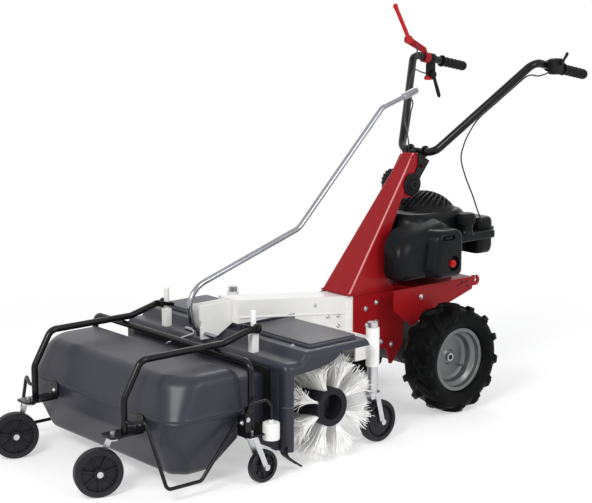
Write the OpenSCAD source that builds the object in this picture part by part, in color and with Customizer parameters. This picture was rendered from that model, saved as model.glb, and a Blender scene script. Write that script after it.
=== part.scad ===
// Walk-behind power brush sweeper with a front collecting hopper.
// The axle of the drive wheels lies over y = 0 of the layout, forward is -y and the operator's left is +x.

/* [Drive wheels] */
// Outside diameter of a drive tyre over its lugs
wheel_d = 362; // [340:1:384]
// Width of a drive tyre
tyre_w = 125; // [100:1:130]
// Bead seat diameter of a rim
rim_d = 196; // [170:1:220]
// Distance between the middles of the two drive tyres
track = 510; // [496:1:540]
// Diameter of the axle shaft
axle_d = 25; // [18:1:32]
// Lugs on each half of a tread
lugs = 13; // [9:1:15]

/* [Brush] */
// Length of the brush over both halves
brush_w = 810; // [760:1:830]
// Diameter of the brush over the bristle tips
brush_d = 332; // [300:1:334]
// Outside diameter of the core tubes
core_d = 118; // [100:1:130]
// Bore of the core tubes
core_bore = 78; // [60:1:90]
// Diameter of the brush shaft
brush_shaft_d = 30; // [24:1:34]
// Distance from the drive axle forward to the brush axis
brush_ahead = 663; // [655:1:670]
// Bristle strips around each half of the brush
strip_rows = 8; // [6:1:10]
// Strands in one bristle strip
strip_strands = 20; // [14:1:22]

/* [Hood] */
// Wall of the moulded hood
hood_wall = 4; // [3:0.5:6]
// Height of the hood roof
hood_roof_z = 356; // [352:1:362]
// Gap between the bristle tips and the front wall of the hood
hood_front_gap = 21; // [17:1:27]

/* [Hopper] */
// Width of the hopper over its side walls
hopper_w = 770; // [740:1:776]
// Height of the hopper lid
hopper_top_z = 336; // [326:1:340]
// Height of the seam between the two shells
hopper_seam_z = 216; // [206:1:226]
// Height of the hopper floor over the ground
hopper_floor_z = 45; // [35:1:60]
// Wall of the hopper shells
hopper_wall = 4; // [3:0.5:6]
// Diameter of the frame tubes round the hopper
frame_tube_d = 20; // [16:1:20]
// Diameter of the side loops
loop_d = 11; // [8:1:13]

/* [Casters] */
// Diameter of a front caster wheel
front_caster_d = 142; // [130:1:150]
// Diameter of a rear caster wheel
rear_caster_d = 97; // [90:1:102]
// Diameter of a support wheel behind the brush
support_d = 135; // [120:1:140]
// Diameter of the swivel stems
stem_d = 12; // [10:1:14]

/* [Column and handlebar] */
// Diameter of the handle tubes
handle_d = 28; // [24:1:32]
// Distance between the two grips
grip_spread = 572; // [550:2:590]
// Height of the rear end of the grips
grip_z = 1096; // [1080:1:1110]
// Distance from the drive axle back to the rear end of the grips
grip_behind = 616; // [600:1:640]
// Length of a grip
grip_len = 128; // [110:1:136]
// Width of the column at its foot
column_w = 136; // [128:2:140]
// Width of the column at its head
column_head_w = 54; // [48:2:58]

/* [Engine] */
// Height of the underside of the engine deck
deck_z = 403; // [398:1:408]
// Width of the engine deck
deck_w = 280; // [260:2:300]
// Diameter of the slotted grille
grille_d = 220; // [200:2:224]

/* [Hidden] */
$fn = 48;
// Overrun of every cut, play of a running fit and the gap between moving flat faces
over = 2;
play = 0.05;
gap = 0.3;
plate_t = 6;
sheet_t = 4;

// Layout along the machine, forward of the drive axle: from the brush out to the hood and the support stems
hood_front_ahead = brush_ahead + brush_d / 2 + hood_front_gap;
stem_clear = 50;
stem_ahead = brush_ahead - brush_d / 2 - stem_clear;
hood_stem_gap = 73;
hood_back_ahead = stem_ahead + hood_stem_gap;

// Drive wheels
wheel_r = wheel_d / 2;
lug_h = 14;
lug_w = 25;
lug_sweep = 44;
lug_root = 26;
lug_edge = 5;
bead_w = 76;
tread_w = 96;
rim_lip = 9;
rim_lip_w = 5;
rim_wall = 4;
rim_dish = 14;
rim_hub_d = 40;
rim_hub_out = 8;
rim_seat = 12;
rim_drop = 10;
rim_well = 14;
rim_hub_w = 64;
axle_cap_d = 28;
axle_cap_w = 8;

// Chassis and gearbox
chassis_w = 132;
chassis_top_z = deck_z - sheet_t;
flange_ahead = 266;
chassis_nose_z = 252;
heel_ahead = 171;
heel_z = 195;
tongue_ahead = 97;
tongue_z = 137;
tongue_w = 18;
chassis_rear_ahead = 37;
chassis_rear_z = 199;
case_r = 62;
case_front_ahead = 60;
case_rear_behind = 45;
pto_h = 120;
trumpet_r = 24;
trumpet_gap = 9;

// Deck
deck_front_ahead = 72;
deck_rear_behind = 225;
deck_flange_front = 150;
deck_flange_knee_z = 341;
deck_flange_z = 279;
deck_tail_z = 366;
hook_r = 18;
hook_bore = 12;
hook_slot = 8;
deck_top_z = deck_z + plate_t;

// Column: the side outline follows shares of its depth and rise, from the front foot
column_foot_ahead = 288;
column_top_behind = 40;
column_top_z = 843;
column_base_z = chassis_top_z + plate_t;
column_depth = column_foot_ahead + column_top_behind;
column_rise = column_top_z - column_base_z;
column_back_shares = [[1.06, 0.975], [0.77, 0.62], [0.57, 0.36], [0.51, 0.17], [0.53, 0.07], [0.62, 0]];
column_head_shares = [[0.7, 0.66], [0.99, 0.985], [1.122, 0.985], [1.17, 0.93], [0.95, 0.66]];
column_skin = sheet_t * norm([column_depth, column_rise]) / column_rise;
head_w = 66;
head_y = -column_foot_ahead + 1.068 * column_depth;
head_z = column_base_z + 0.985 * column_rise;
cap_r = 16;

// Handle bracket, and the pivot of the handle tubes on it
pivot_y = 88;
pivot_z = 846;
eye_r = 20;
bracket_t = 5;
bracket_bore = 14;
bracket_bore_y = 66;
bracket_bore_z = 798;
bracket_shares = [[-0.98, -1], [-0.375, -0.343], [-0.375, 0], [0.23, -0.25], [-0.2, -0.6], [-0.59, -1]];
bracket_reach = 88;
bracket_drop = 134;
cross_tube_r = 10;
lock_y = 24;
lock_z = 738;
lock_r = 46;
lock_w = 28;
lock_boss_r = 30;
lock_boss_w = 14;
lock_ribs = 18;
lock_rib = 6;
lock_shaft_d = 14;
lock_off = 4;

// Handle tubes, from the pivot out and up to the top bend and back to the grips
handle_out_x = 78;
handle_top_x = 288;
handle_top_y = 348;
handle_top_z = 1150;
handle_bend_r = 48;
handle_sides = 12;
grip_r = 18;
grip_rib = 2;
grip_rib_w = 7;
grip_ribs = 6;

// Controls, seated at shares of the run from the top bend to the grip end
clamp_r = 20;
clamp_w = 26;
clamp_wall = (clamp_r + handle_d / 2) / 2;
bracket_seat_share = 0.23;
trigger_seat_share = 0.335;
throttle_seat_share = 0.3;
control_t = 5;
lever_pivot_y = 316;
lever_pivot_z = 1205;
lever_tip_y = 244;
lever_tip_z = 1327;
lever_t = 12;
lever_w = 16;
lever_eye_r = 15;
pin_d = 10;
trigger_w = 16;
trigger_deep = 24;
trigger_drop = 58;
trigger_eye_r = 14;
trigger_t = 10;
trigger_blade_t = 7;
trigger_len = 92;
trigger_lean = 22;
throttle_w = 22;
throttle_deep = 56;
throttle_h = 54;
throttle_lever_t = 6;
throttle_lever_len = 42;
throttle_lever_w = 13;
throttle_lean = 40;
cable_d = 5;
cable_sides = 8;

// Engine
engine_x = -20;
engine_y = 138;
block_r = 104;
block_top_z = 500;
cylinder_x = 58;
cylinder_front_ahead = 92;
cylinder_z = 436;
silencer_x = 150;
housing_x = 132;
housing_near_x = 108;
housing_front_ahead = 46;
housing_rear_y = 268;
housing_top_z = 642;
housing_corner_r = 84;
housing_inset = 30;
housing_round = 40;
grille_h = 58;
grille_slots = 9;
slot_w = 9;
slot_deep = 16;
cowl_back_x = 88;
cowl_x = 186;
cowl_front_ahead = 158;
cowl_rear_y = 108;
cowl_z = 434;
cowl_top_z = 600;
cowl_corner_r = 30;
tank_x = 128;
tank_rear_y = 348;
tank_z = 480;
tank_top_z = 606;
tank_corner_r = 26;
arm_x = 112;
arm_w = 48;
arm_front_y = 118;
arm_z = 536;
arm_top_z = 566;
fill_x = 137;
fill_y = 192;
neck_r = 20;
neck_h = 30;
fuel_cap_r = 27;
fuel_cap_h = 40;
fuel_cap_grips = 16;
filter_t = 20;
filter_front_ahead = 24;
filter_corner_r = 24;
knob_y = 58;
knob_z = 485;
knob_r = 12;
knob_h = 16;
well_r = 18;
well_deep = 14;
knob_pin_d = 8;

// Beam and its nose
beam_w = 100;
beam_wall = 5;
beam_seat = 16;
beam_seat_z = hood_roof_z + beam_seat;
beam_rear_z = 395;
beam_front_z = 448;
beam_front_in = 110;
beam_front_ahead = hood_front_ahead - beam_front_in;
beam_step_in = 12;
beam_step_ahead = hood_back_ahead - beam_step_in;
beam_belly_z = 286;
beam_flange_w = 124;
beam_flange_t = 8;
nose_w = 44;
nose_out = 16;
nose_front_ahead = hood_front_ahead + nose_out;
nose_chin_in = 4;
nose_chin_ahead = nose_front_ahead - nose_chin_in;
nose_z = 336;
nose_len = 60;
nose_heel_ahead = nose_front_ahead - nose_len;

// Hood
hood_end_gap = 6;
hood_w = brush_w + 2 * hood_end_gap;
hood_tier_z = 330;
hood_tier_deep = 58;
hood_tier_ahead = hood_front_ahead - hood_tier_deep;
hood_step_deep = 82;
hood_step_ahead = hood_front_ahead - hood_step_deep;
hood_hem_z = 64;
hood_round_r = 14;
hood_lip = 22;
arch_in = 27;
arch_ahead = hood_front_ahead - arch_in;
arch_z = 296;
arch_top_z = 338;
arch_run = 120;
arch_back_ahead = hood_back_ahead + arch_run;
window_in = 86;
window_w = hood_w - 2 * window_in;
window_z = 96;
window_top_z = 300;
lid_near_x = 62;
lid_side_in = 27;
lid_far_x = hood_w / 2 - lid_side_in;
lid_front_in = 114;
lid_front_ahead = hood_front_ahead - lid_front_in;
lid_rear_in = 20;
lid_rear_ahead = hood_back_ahead + lid_rear_in;
lid_h = 8;
rib_side_in = 45;
rib_x = hood_w / 2 - rib_side_in;
rib_w = 34;
rib_deep = 9;
slot_play = 3;

// Posts that carry the hopper hinge
post_x = 222;
post_w = 24;
post_wall = 3;
post_top_z = 424;
hinge_in = 32;
hinge_ahead = hood_front_ahead - hinge_in;
hinge_z = 404;
hook_pin_d = 12;
hook_plate_t = 8;
hook_gap = 1;
hook_eye_r = 15;

// Brush
brush_r = brush_d / 2;
tip_clear = 2;
brush_z = brush_r + tip_clear;
core_gap = 40;
hub_w = 16;
hub_in = 60;
strip_w = 16;
strip_h = 8;
strand_root = 4.5;
strand_tip = 2;
strand_side = 4;
strand_lean = 9;
gearcase_r = 66;
gearcase_w = 64;
gearcase_neck = 74;

// Support wheels and their stems
stem_x = 350;
leg_r = 16;
leg_top_z = 388;
leg_foot_z = 158;
socket_r = 21;
socket_z = 249;
socket_top_z = 370;
support_trail = 24;
support_w = 34;
fork_t = 4;
fork_gap = 3;
fork_crown_h = 8;
axle_bolt_d = 10;
bolt_head_r = 9;
bolt_head_w = 6;
stem_bar_t = 8;
stem_bar_z = 290;
stem_bar_h = 42;
stem_plate_reach = 67;
stem_plate_front = stem_ahead + stem_plate_reach;
stem_plate_z = 272;
stem_plate_top_z = 336;
stem_plate_in = 12;

// Hopper shells
hopper_hood_gap = 135;
hopper_rear_ahead = hood_front_ahead + hopper_hood_gap;
hopper_deep = 253;
hopper_front_ahead = hopper_rear_ahead + hopper_deep;
hopper_lid_back = 30;
hopper_lid_ahead = hopper_front_ahead - hopper_lid_back;
hopper_corner_r = 50;
hopper_rear_r = 16;
hopper_lid_r = 22;
hopper_lid_in = 18;
hopper_lid_turn = 26;
floor_front_in = 41;
floor_front_ahead = hopper_front_ahead - floor_front_in;
floor_rear_in = 97;
floor_rear_ahead = hopper_rear_ahead + floor_rear_in;
floor_in = 40;
floor_r = 30;
tail_z = 132;
seam_lip = 6;
seam_h = 5;
mouth_play = 5;
mouth_w = window_w - 2 * mouth_play;
mouth_gap = 12;
mouth_back_ahead = hood_front_ahead + mouth_gap;
mouth_top_z = 292;
mouth_z = 140;

// Hopper frame
hoop_x = post_x + post_w / 2 + hook_gap + hook_plate_t / 2;
hoop_top_z = 379;
hoop_foot_out = 63;
hoop_foot_ahead = hopper_front_ahead + hoop_foot_out;
hoop_knee_z = 275;
hoop_front_out = 2;
hoop_front_ahead = hopper_front_ahead + hoop_front_out;
hoop_kink_out = 40;
hoop_kink_ahead = hopper_rear_ahead - hoop_kink_out;
hoop_end_gap = 28;
hoop_end_ahead = hinge_ahead + hoop_end_gap;
frame_bend_r = 34;
frame_sides = 10;
bow_x = 402;
bow_out = 12;
bow_ahead = hopper_rear_ahead - bow_out;
bow_z = hoop_top_z - frame_tube_d - gap;
loop_x = 396;
loop_knee_x = 318;
loop_knee_in = 17;
loop_knee_ahead = hoop_foot_ahead - loop_knee_in;
loop_knee_z = 226;
loop_start_z = 214;
loop_floor_z = 44;
loop_front_out = 30;
loop_front_ahead = hopper_front_ahead + loop_front_out;
loop_rear_in = 165;
loop_rear_ahead = hopper_rear_ahead + loop_rear_in;
loop_end_z = 192;
loop_bend_r = 16;
plate_z = 172;
plate_out = 55;
plate_front_ahead = hoop_foot_ahead + plate_out;
plate_w = 64;
tab_h = 76;
front_axis_x = 228;
front_axis_out = 31;
front_axis_ahead = hoop_foot_ahead + front_axis_out;
front_trail = 44;
front_yaw = 20;
front_wheel_w = 32;
rear_axis_x = 416;
rear_axis_ahead = hopper_rear_ahead;
rear_trail = 42;
rear_wheel_w = 22;
rear_plate_z = 150;
rear_plate_w = 56;
crown_r = 20;
nut_r = 7.5;
nut_h = 8;
ear_x = 423;
ear_w = rear_plate_w / 2 - nut_r - gap;
ear_h = 90;
latch_in = 18;
latch_ahead = hopper_rear_ahead + latch_in;
latch_z = 228;
latch_pin_d = 10;
latch_eye_r = 9;
latch_eye_w = 10;
latch_rod_d = 8;
latch_rise = 20;
latch_arm = 65;
latch_shoulder_ahead = latch_ahead - latch_arm;
weight_r = 25;
weight_h = 52;
weight_arm = 80;
weight_ahead = latch_ahead - weight_arm;
weight_z = 128;

// Lift lever: a cross rod in the nose, a bent rod back to the operator and a finger under the bow
lift_in = 2;
lift_ahead = hood_front_ahead - lift_in;
lift_z = 352;
lift_rod_d = 18;
lift_sides = 10;
cross_d = 14;
cross_w = 92;
finger_t = 10;
finger_len = 131;
finger_end_ahead = lift_ahead + finger_len;
finger_root = 7;
finger_tip_z = 332;
finger_tip_h = 10;
lift_bend_r = 40;
lift_knob_r = 12;
lift_knob_len = 70;
lift_route_shares = [[0.037, 0.046], [0.047, 0.13], [0.03, 0.205], [-0.431, 0.403], [-0.827, 0.924], [-1, 0.995]];
lift_reach = 928;
lift_rise = 705;

// Foremost and rearmost reach from the axle, and the shift that centres the machine over the origin
front_reach = front_axis_ahead + (front_trail + front_caster_d / 2) * cos(front_yaw)
  + front_wheel_w / 3 * sin(front_yaw);
rear_reach = grip_behind + grip_r * (handle_top_z - grip_z) / norm(grip_run());
frame_shift = (front_reach - rear_reach) / 2;

// Routes of the cables, as points along their middles
throttle_route = [
  [310, 398, 1116], [307, 382, 1110], [296, 358, 1104], [270, 336, 1104], [238, 297, 1062], [206, 257, 1016],
  [168, 210, 961], [150, 185, 915], [138, 170, 870], [131, 166, 822], [130, 192, 756], [127, 230, 693],
  [120, 262, 640], [112, 288, 607]
];
clutch_routes = [
  [[-287, 422, 1082], [-285, 406, 1080], [-276, 376, 1086], [-258, 322, 1092], [-206, 257, 1016],
    [-167, 228, 987], [-136, 188, 962], [-98, 140, 915], [-62, 100, 902], [-38, 66, 888], [-30.5, 48, 864], [-30.5, 47, 837]],
  [[-278, 350, 1186], [-264, 342, 1178], [-246, 322, 1150], [-232, 296, 1110], [-205, 250, 1060],
    [-160, 190, 1000], [-110, 132, 946], [-64, 94, 918], [-38, 76, 896], [-28, 72, 868], [-27, 72, 837]]
];

// Moves the layout so that the machine stands centred over the origin
module in_frame() {
  translate([0, frame_shift, 0]) children();
}

// Draws a side outline, given as y and z, as a slab of width w centred on x = 0
module across(w) {
  rotate([90, 0, 90]) linear_extrude(height = w, center = true) children();
}

// Cylinder along x, centred on the origin
module barrel(r, w) {
  rotate([0, 90, 0]) cylinder(r = r, h = w, center = true);
}

// Box from its low corner to its high corner
module block(a, b) {
  translate(a) cube(b - a);
}

// The same piece on both sides
module both_sides() {
  children();
  mirror([1, 0, 0]) children();
}

// Upright round posts at the corners of a rectangle, to be hulled: low corner, high corner and corner radius
module corner_posts(a, b, r) {
  for (x = [a.x + r, b.x - r])
    for (y = [a.y + r, b.y - r])
      translate([x, y, a.z]) cylinder(r = r, h = b.z - a.z, $fn = 32);
}

function unit(v) = v / norm(v);

// Points of the arc that rounds the corner b between a and c
function corner(a, b, c, r, steps) =
  let (u = unit(a - b), w = unit(c - b), half = acos(u * w) / 2, mid = unit(u + w), side = unit(w - u))
  [for (i = [0:steps]) let (t = (i / steps - 0.5) * (180 - 2 * half))
    b + mid * r / sin(half) + r * (side * sin(t) - mid * cos(t))];

// A path with its inner corners rounded
function bent(p, r, steps = 4) = concat(
  [p[0]], [for (i = [1:len(p) - 2]) each corner(p[i - 1], p[i], p[i + 1], r, steps)], [p[len(p) - 1]]);

function heading(p, i) = unit(p[min(i + 1, len(p) - 1)] - p[max(i - 1, 0)]);

function square_to(d) = unit(cross(d, abs(d.z) < 0.9 ? [0, 0, 1] : [0, 1, 0]));

// Normals carried along a path without twist
function carried(p, i, n) = let (d = heading(p, i), m = unit(n - (n * d) * d))
  i == len(p) - 1 ? [m] : concat([m], carried(p, i + 1, m));

// Round bar of the given radius along a path
module bar_along(p, r, sides) {
  n = carried(p, 0, square_to(heading(p, 0)));
  rings = len(p);
  points = [for (i = [0:rings - 1]) for (k = [0:sides - 1])
    p[i] + r * (cos(360 * k / sides) * n[i] + sin(360 * k / sides) * cross(heading(p, i), n[i]))];
  walls = [for (i = [0:rings - 2]) for (k = [0:sides - 1])
    let (a = i * sides + k, b = i * sides + (k + 1) % sides)
    each [[a, a + sides, b + sides], [a, b + sides, b]]];
  caps = [[for (k = [0:sides - 1]) k], [for (k = [sides - 1:-1:0]) (rings - 1) * sides + k]];
  polyhedron(points = points, faces = concat(walls, caps));
}

// Turns the z axis of a piece to the direction v and moves it to the point a
module aimed(a, v) {
  translate(a) rotate([0, acos(v.z / norm(v)), atan2(v.y, v.x)]) children();
}

// Chassis: two side plates, a top plate that carries the column and a flange for the beam
module chassis_frame() {
  color("firebrick") {
    both_sides() translate([(chassis_w - plate_t) / 2, 0, 0]) across(plate_t) polygon([
      [-flange_ahead, chassis_top_z], [-flange_ahead, chassis_nose_z], [-heel_ahead, heel_z],
      [-tongue_ahead - tongue_w, heel_z], [-tongue_ahead, tongue_z], [-tongue_ahead + tongue_w / 2, tongue_z],
      [-chassis_rear_ahead, chassis_rear_z], [-chassis_rear_ahead, chassis_top_z]]);
    block([-chassis_w / 2 - plate_t, -column_foot_ahead, chassis_top_z],
      [chassis_w / 2 + plate_t, -deck_front_ahead, column_base_z]);
    block([-chassis_w / 2, -flange_ahead, chassis_nose_z], [chassis_w / 2, plate_t - flange_ahead, chassis_top_z]);
  }
}

// Cast case between the plates, with the axle trumpets and their bore
module gearbox_case() {
  half = chassis_w / 2 - plate_t;
  reach = track / 2 - tyre_w / 2 - trumpet_gap;
  color("dimgray") difference() {
    union() {
      translate([0, 0, wheel_r]) barrel(case_r, 2 * half);
      translate([0, 0, wheel_r]) barrel(trumpet_r, 2 * reach);
      block([-half, -case_front_ahead, wheel_r], [half, case_rear_behind, deck_z]);
      block([-half, plate_t - flange_ahead, chassis_nose_z + plate_t],
        [half, -case_front_ahead, chassis_nose_z + pto_h]);
    }
    translate([0, 0, wheel_r]) barrel(axle_d / 2 + play, 2 * reach + over);
  }
}

// Deck: a folded plate with deep side flanges and a slotted tow hook at its tail
module engine_deck() {
  color("firebrick") {
    block([-deck_w / 2, -deck_front_ahead, deck_z], [deck_w / 2, deck_rear_behind, deck_top_z]);
    both_sides() translate([(deck_w - plate_t) / 2, 0, 0]) across(plate_t) polygon([
      [-deck_flange_front, deck_top_z], [-deck_flange_front, deck_flange_knee_z], [-deck_front_ahead, deck_flange_z],
      [deck_rear_behind, deck_tail_z], [deck_rear_behind, deck_top_z]]);
    translate([(deck_w - plate_t) / 2, deck_rear_behind + hook_r, deck_z - hook_r / 2]) difference() {
      union() {
        barrel(hook_r, plate_t);
        block([-plate_t / 2, -hook_r, -hook_r], [plate_t / 2, 0, hook_r]);
      }
      barrel(hook_bore / 2, plate_t + over);
      block([-plate_t, -hook_slot / 2, 0], [plate_t, hook_slot / 2, hook_r + over]);
    }
  }
}

function column_point(s) = [-column_foot_ahead + s.x * column_depth, column_base_z + s.y * column_rise];

// Wedge that narrows the column towards its head, thinner on each side by the given wall
module column_wedge(wall) {
  rotate([90, 0, 0]) linear_extrude(height = 2 * column_depth + column_rise, center = true) polygon([
    [-column_w / 2 + wall, column_base_z], [column_w / 2 - wall, column_base_z],
    [column_head_w / 2 - wall, column_top_z], [-column_head_w / 2 + wall, column_top_z]]);
}

// Column: folded sheet that is open to the rear, with a head block between the bracket plates
module column() {
  foot = column_point([0, 0]);
  top = column_point([1, 1]);
  color("firebrick") difference() {
    union() {
      difference() {
        intersection() {
          across(column_w) polygon(concat([foot, top], [for (s = column_back_shares) column_point(s)]));
          column_wedge(0);
        }
        intersection() {
          across(column_w) polygon([foot + [column_skin, 0], top + [column_skin, 0],
            top + [column_depth, 0], foot + [2 * column_depth, 0]]);
          column_wedge(sheet_t);
        }
      }
      across(head_w) polygon([for (s = column_head_shares) column_point(s)]);
    }
    translate([0, lock_y, lock_z]) barrel(lock_shaft_d / 2 + play, head_w + over);
    translate([0, bracket_bore_y, bracket_bore_z]) barrel(bracket_bore / 2, head_w + over);
  }
}

// Domed plug on the head of the column
module column_cap() {
  color("black") translate([0, head_y, head_z]) intersection() {
    sphere(r = cap_r);
    block([-cap_r, -cap_r, 0], [cap_r, cap_r, cap_r]);
  }
}

// Bracket: two plates on the head block, a cross tube on the handle pivot and the bores for the height setting
module handle_bracket() {
  color("dimgray") {
    both_sides() translate([(head_w + bracket_t) / 2, 0, 0]) difference() {
      across(bracket_t) {
        polygon([for (s = bracket_shares) [pivot_y + s.x * bracket_reach, pivot_z + s.y * bracket_drop]]);
        translate([pivot_y, pivot_z]) circle(r = eye_r);
      }
      translate([0, bracket_bore_y, bracket_bore_z]) barrel(bracket_bore / 2, bracket_t + over);
      translate([0, lock_y, lock_z]) barrel(lock_shaft_d / 2 + play, bracket_t + over);
    }
    translate([0, pivot_y, pivot_z]) barrel(cross_tube_r, head_w + over);
  }
}

// Ribbed knob on the far side of the bracket, its shaft through the head and a stepped boss on the near side
module lock_knob() {
  seat = head_w / 2 + bracket_t + gap;
  color([0.12, 0.12, 0.12]) translate([0, lock_y, lock_z]) {
    translate([(lock_boss_w - lock_off - lock_w) / 4, 0, 0])
      barrel(lock_shaft_d / 2, 2 * seat + (lock_boss_w + lock_off + lock_w) / 2);
    translate([-seat - lock_off - lock_w / 2, 0, 0]) difference() {
      barrel(lock_r, lock_w);
      for (i = [0:lock_ribs - 1])
        rotate([i * 360 / lock_ribs, 0, 0]) translate([0, 0, lock_r]) barrel(lock_rib / 2, lock_w + 2 * over);
    }
    translate([-seat - lock_off / 2, 0, 0]) barrel(lock_boss_r / 2, lock_off);
    translate([seat + lock_boss_w / 4, 0, 0]) barrel(lock_boss_r, lock_boss_w / 2);
    translate([seat + lock_boss_w * 0.75, 0, 0]) barrel(lock_boss_r * 0.7, lock_boss_w / 2);
  }
}

function handle_path() = [
  [head_w / 2 + bracket_t, pivot_y, pivot_z], [handle_out_x, pivot_y, pivot_z],
  [handle_top_x, handle_top_y, handle_top_z], grip_point(1) - sheet_t * unit(grip_run())];

function grip_run() = [grip_spread / 2, grip_behind, grip_z] - [handle_top_x, handle_top_y, handle_top_z];

// Point on the run from the top bend to the end of the left grip
function grip_point(share) = [handle_top_x, handle_top_y, handle_top_z] + share * grip_run();

module left_handle() {
  color("black") bar_along(bent(handle_path(), handle_bend_r), handle_d / 2, handle_sides);
}

module right_handle() {
  mirror([1, 0, 0]) left_handle();
}

// Ribbed grip, closed at its rear end
module grip() {
  aimed(grip_point(1) - grip_len * unit(grip_run()), grip_run()) difference() {
    union() {
      cylinder(r = grip_r, h = grip_len);
      cylinder(r = grip_r + 2 * grip_rib, h = grip_rib_w);
      for (i = [1:grip_ribs])
        translate([0, 0, i * grip_len / (grip_ribs + 1)]) cylinder(r = grip_r + grip_rib, h = grip_rib_w);
    }
    translate([0, 0, -over]) cylinder(r = handle_d / 2 + play, h = grip_len - sheet_t / 2 + over);
  }
}

module grips() {
  color([0.15, 0.15, 0.15]) both_sides() grip();
}

// Clamp ring round the run of the left grip at a share of it
module grip_clamp(share) {
  aimed(grip_point(share) - clamp_w / 2 * unit(grip_run()), grip_run()) difference() {
    cylinder(r = clamp_r, h = clamp_w);
    translate([0, 0, -over]) cylinder(r = handle_d / 2 + play, h = clamp_w + 2 * over);
  }
}

// Red bracket on the right handle that carries the clutch lever
module control_bracket() {
  seat = grip_point(bracket_seat_share);
  color("firebrick") mirror([1, 0, 0]) {
    grip_clamp(bracket_seat_share);
    translate([seat.x, 0, 0]) difference() {
      across(control_t) {
        polygon([[seat.y - clamp_w / 2, seat.z + clamp_r * 0.8], [seat.y + clamp_w / 3, seat.z + clamp_r * 0.8],
          [seat.y, seat.z + clamp_r + lever_eye_r], [lever_pivot_y + lever_eye_r / 2, lever_pivot_z + lever_eye_r * 0.8],
          [lever_pivot_y - lever_eye_r / 2, lever_pivot_z - lever_eye_r * 0.8]]);
        translate([lever_pivot_y, lever_pivot_z]) circle(r = lever_eye_r);
      }
      translate([0, lever_pivot_y, lever_pivot_z]) barrel(pin_d / 2 + play, control_t + over);
    }
  }
}

// Clutch lever: an eye, a tapering flat arm and a round tip
module clutch_lever() {
  x = grip_point(bracket_seat_share).x - control_t / 2 - gap - lever_t / 2;
  arm = [lever_tip_y - lever_pivot_y, lever_tip_z - lever_pivot_z];
  side = [arm.y, -arm.x] / norm(arm) * lever_w / 2;
  color("crimson") mirror([1, 0, 0]) translate([x, lever_pivot_y, lever_pivot_z]) {
    across(lever_t) {
      circle(r = lever_eye_r);
      polygon([side, arm + side * 0.7, arm - side * 0.7, -side]);
      translate(arm) circle(r = lever_w * 0.6);
    }
    translate([(lever_t + control_t + gap) / 2, 0, 0]) barrel(pin_d / 2, control_t + lever_t);
  }
}

// Clamp and hanging block of the trigger on the right handle
module trigger_clamp() {
  seat = grip_point(trigger_seat_share);
  color("black") mirror([1, 0, 0]) {
    grip_clamp(trigger_seat_share);
    difference() {
      block(seat - [trigger_w / 2, trigger_deep / 2, trigger_drop + trigger_eye_r],
        seat + [trigger_w / 2, trigger_deep / 2, -clamp_wall]);
      translate(seat - [0, 0, trigger_drop]) barrel(pin_d / 2 + play, trigger_w + over);
    }
  }
}

// Trigger: an eye beside the block, its pin and a finger blade that hangs back
module trigger_lever() {
  seat = grip_point(trigger_seat_share);
  color("black") mirror([1, 0, 0]) translate(seat - [0, 0, trigger_drop]) {
    translate([-(trigger_w + trigger_t) / 2 - gap, 0, 0]) {
      barrel(trigger_eye_r, trigger_t);
      rotate([trigger_lean, 0, 0])
        block([-trigger_blade_t / 2, -trigger_eye_r / 2, -trigger_len],
          [trigger_blade_t / 2, trigger_eye_r / 2, 0]);
    }
    translate([-trigger_t / 4 - gap, 0, 0]) barrel(pin_d / 2, trigger_w + trigger_t / 2);
  }
}

// Throttle body on the left handle
module throttle_body() {
  seat = grip_point(throttle_seat_share);
  color("black") {
    grip_clamp(throttle_seat_share);
    difference() {
      block(seat + [clamp_wall, -throttle_deep / 2, -throttle_h / 2],
        seat + [clamp_wall + throttle_w, throttle_deep / 2, throttle_h / 2]);
      translate(seat + [clamp_wall + throttle_w, throttle_lever_w, throttle_lever_w])
        barrel(pin_d / 2 + play, throttle_w);
    }
  }
}

// Thumb lever of the throttle
module throttle_lever() {
  seat = grip_point(throttle_seat_share);
  color("black")
    translate(seat + [clamp_wall + throttle_w + gap + throttle_lever_t / 2, throttle_lever_w, throttle_lever_w]) {
      barrel(throttle_lever_w / 2, throttle_lever_t);
      rotate([-throttle_lean, 0, 0]) block([-throttle_lever_t / 2, -throttle_lever_w / 3, 0],
        [throttle_lever_t / 2, throttle_lever_w / 3, throttle_lever_len]);
      translate([-throttle_w / 4, 0, 0]) barrel(pin_d / 2, throttle_w / 2);
    }
}

module throttle_cable() {
  color([0.1, 0.1, 0.1]) bar_along(throttle_route, cable_d / 2, cable_sides);
}

module clutch_cables() {
  color([0.1, 0.1, 0.1]) for (route = clutch_routes) bar_along(route, cable_d / 2, cable_sides);
}

// Crankcase on the deck, cylinder towards the front and silencer on the far side
module engine_block() {
  color([0.2, 0.2, 0.2]) {
    translate([engine_x, engine_y, deck_top_z]) cylinder(r = block_r, h = block_top_z - deck_top_z);
    block([-cylinder_x, -cylinder_front_ahead, cylinder_z], [cylinder_x, engine_y, block_top_z]);
    block([-silencer_x, -cylinder_front_ahead / 2, cylinder_z], [engine_x, engine_y, block_top_z]);
  }
}

// Blower housing with the cowl on the near side
module blower_housing() {
  color([0.14, 0.14, 0.14]) {
    hull() {
      corner_posts([-housing_x, -housing_front_ahead, block_top_z],
        [housing_near_x, housing_rear_y, housing_top_z - housing_round], housing_corner_r);
      corner_posts([-housing_x + housing_inset, -housing_front_ahead + housing_inset, block_top_z],
        [housing_near_x - housing_inset / 2, housing_rear_y - housing_inset / 3, housing_top_z],
        housing_corner_r - housing_inset);
    }
    hull() {
      corner_posts([cowl_back_x, -cowl_front_ahead, cowl_z + housing_round],
        [cowl_x, cowl_rear_y, cowl_top_z - housing_round], cowl_corner_r);
      corner_posts([cowl_back_x, -cowl_front_ahead + housing_inset, cowl_z],
        [cowl_x - housing_inset / 2, cowl_rear_y - housing_inset / 2, cowl_top_z], cowl_corner_r);
    }
  }
}

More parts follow.
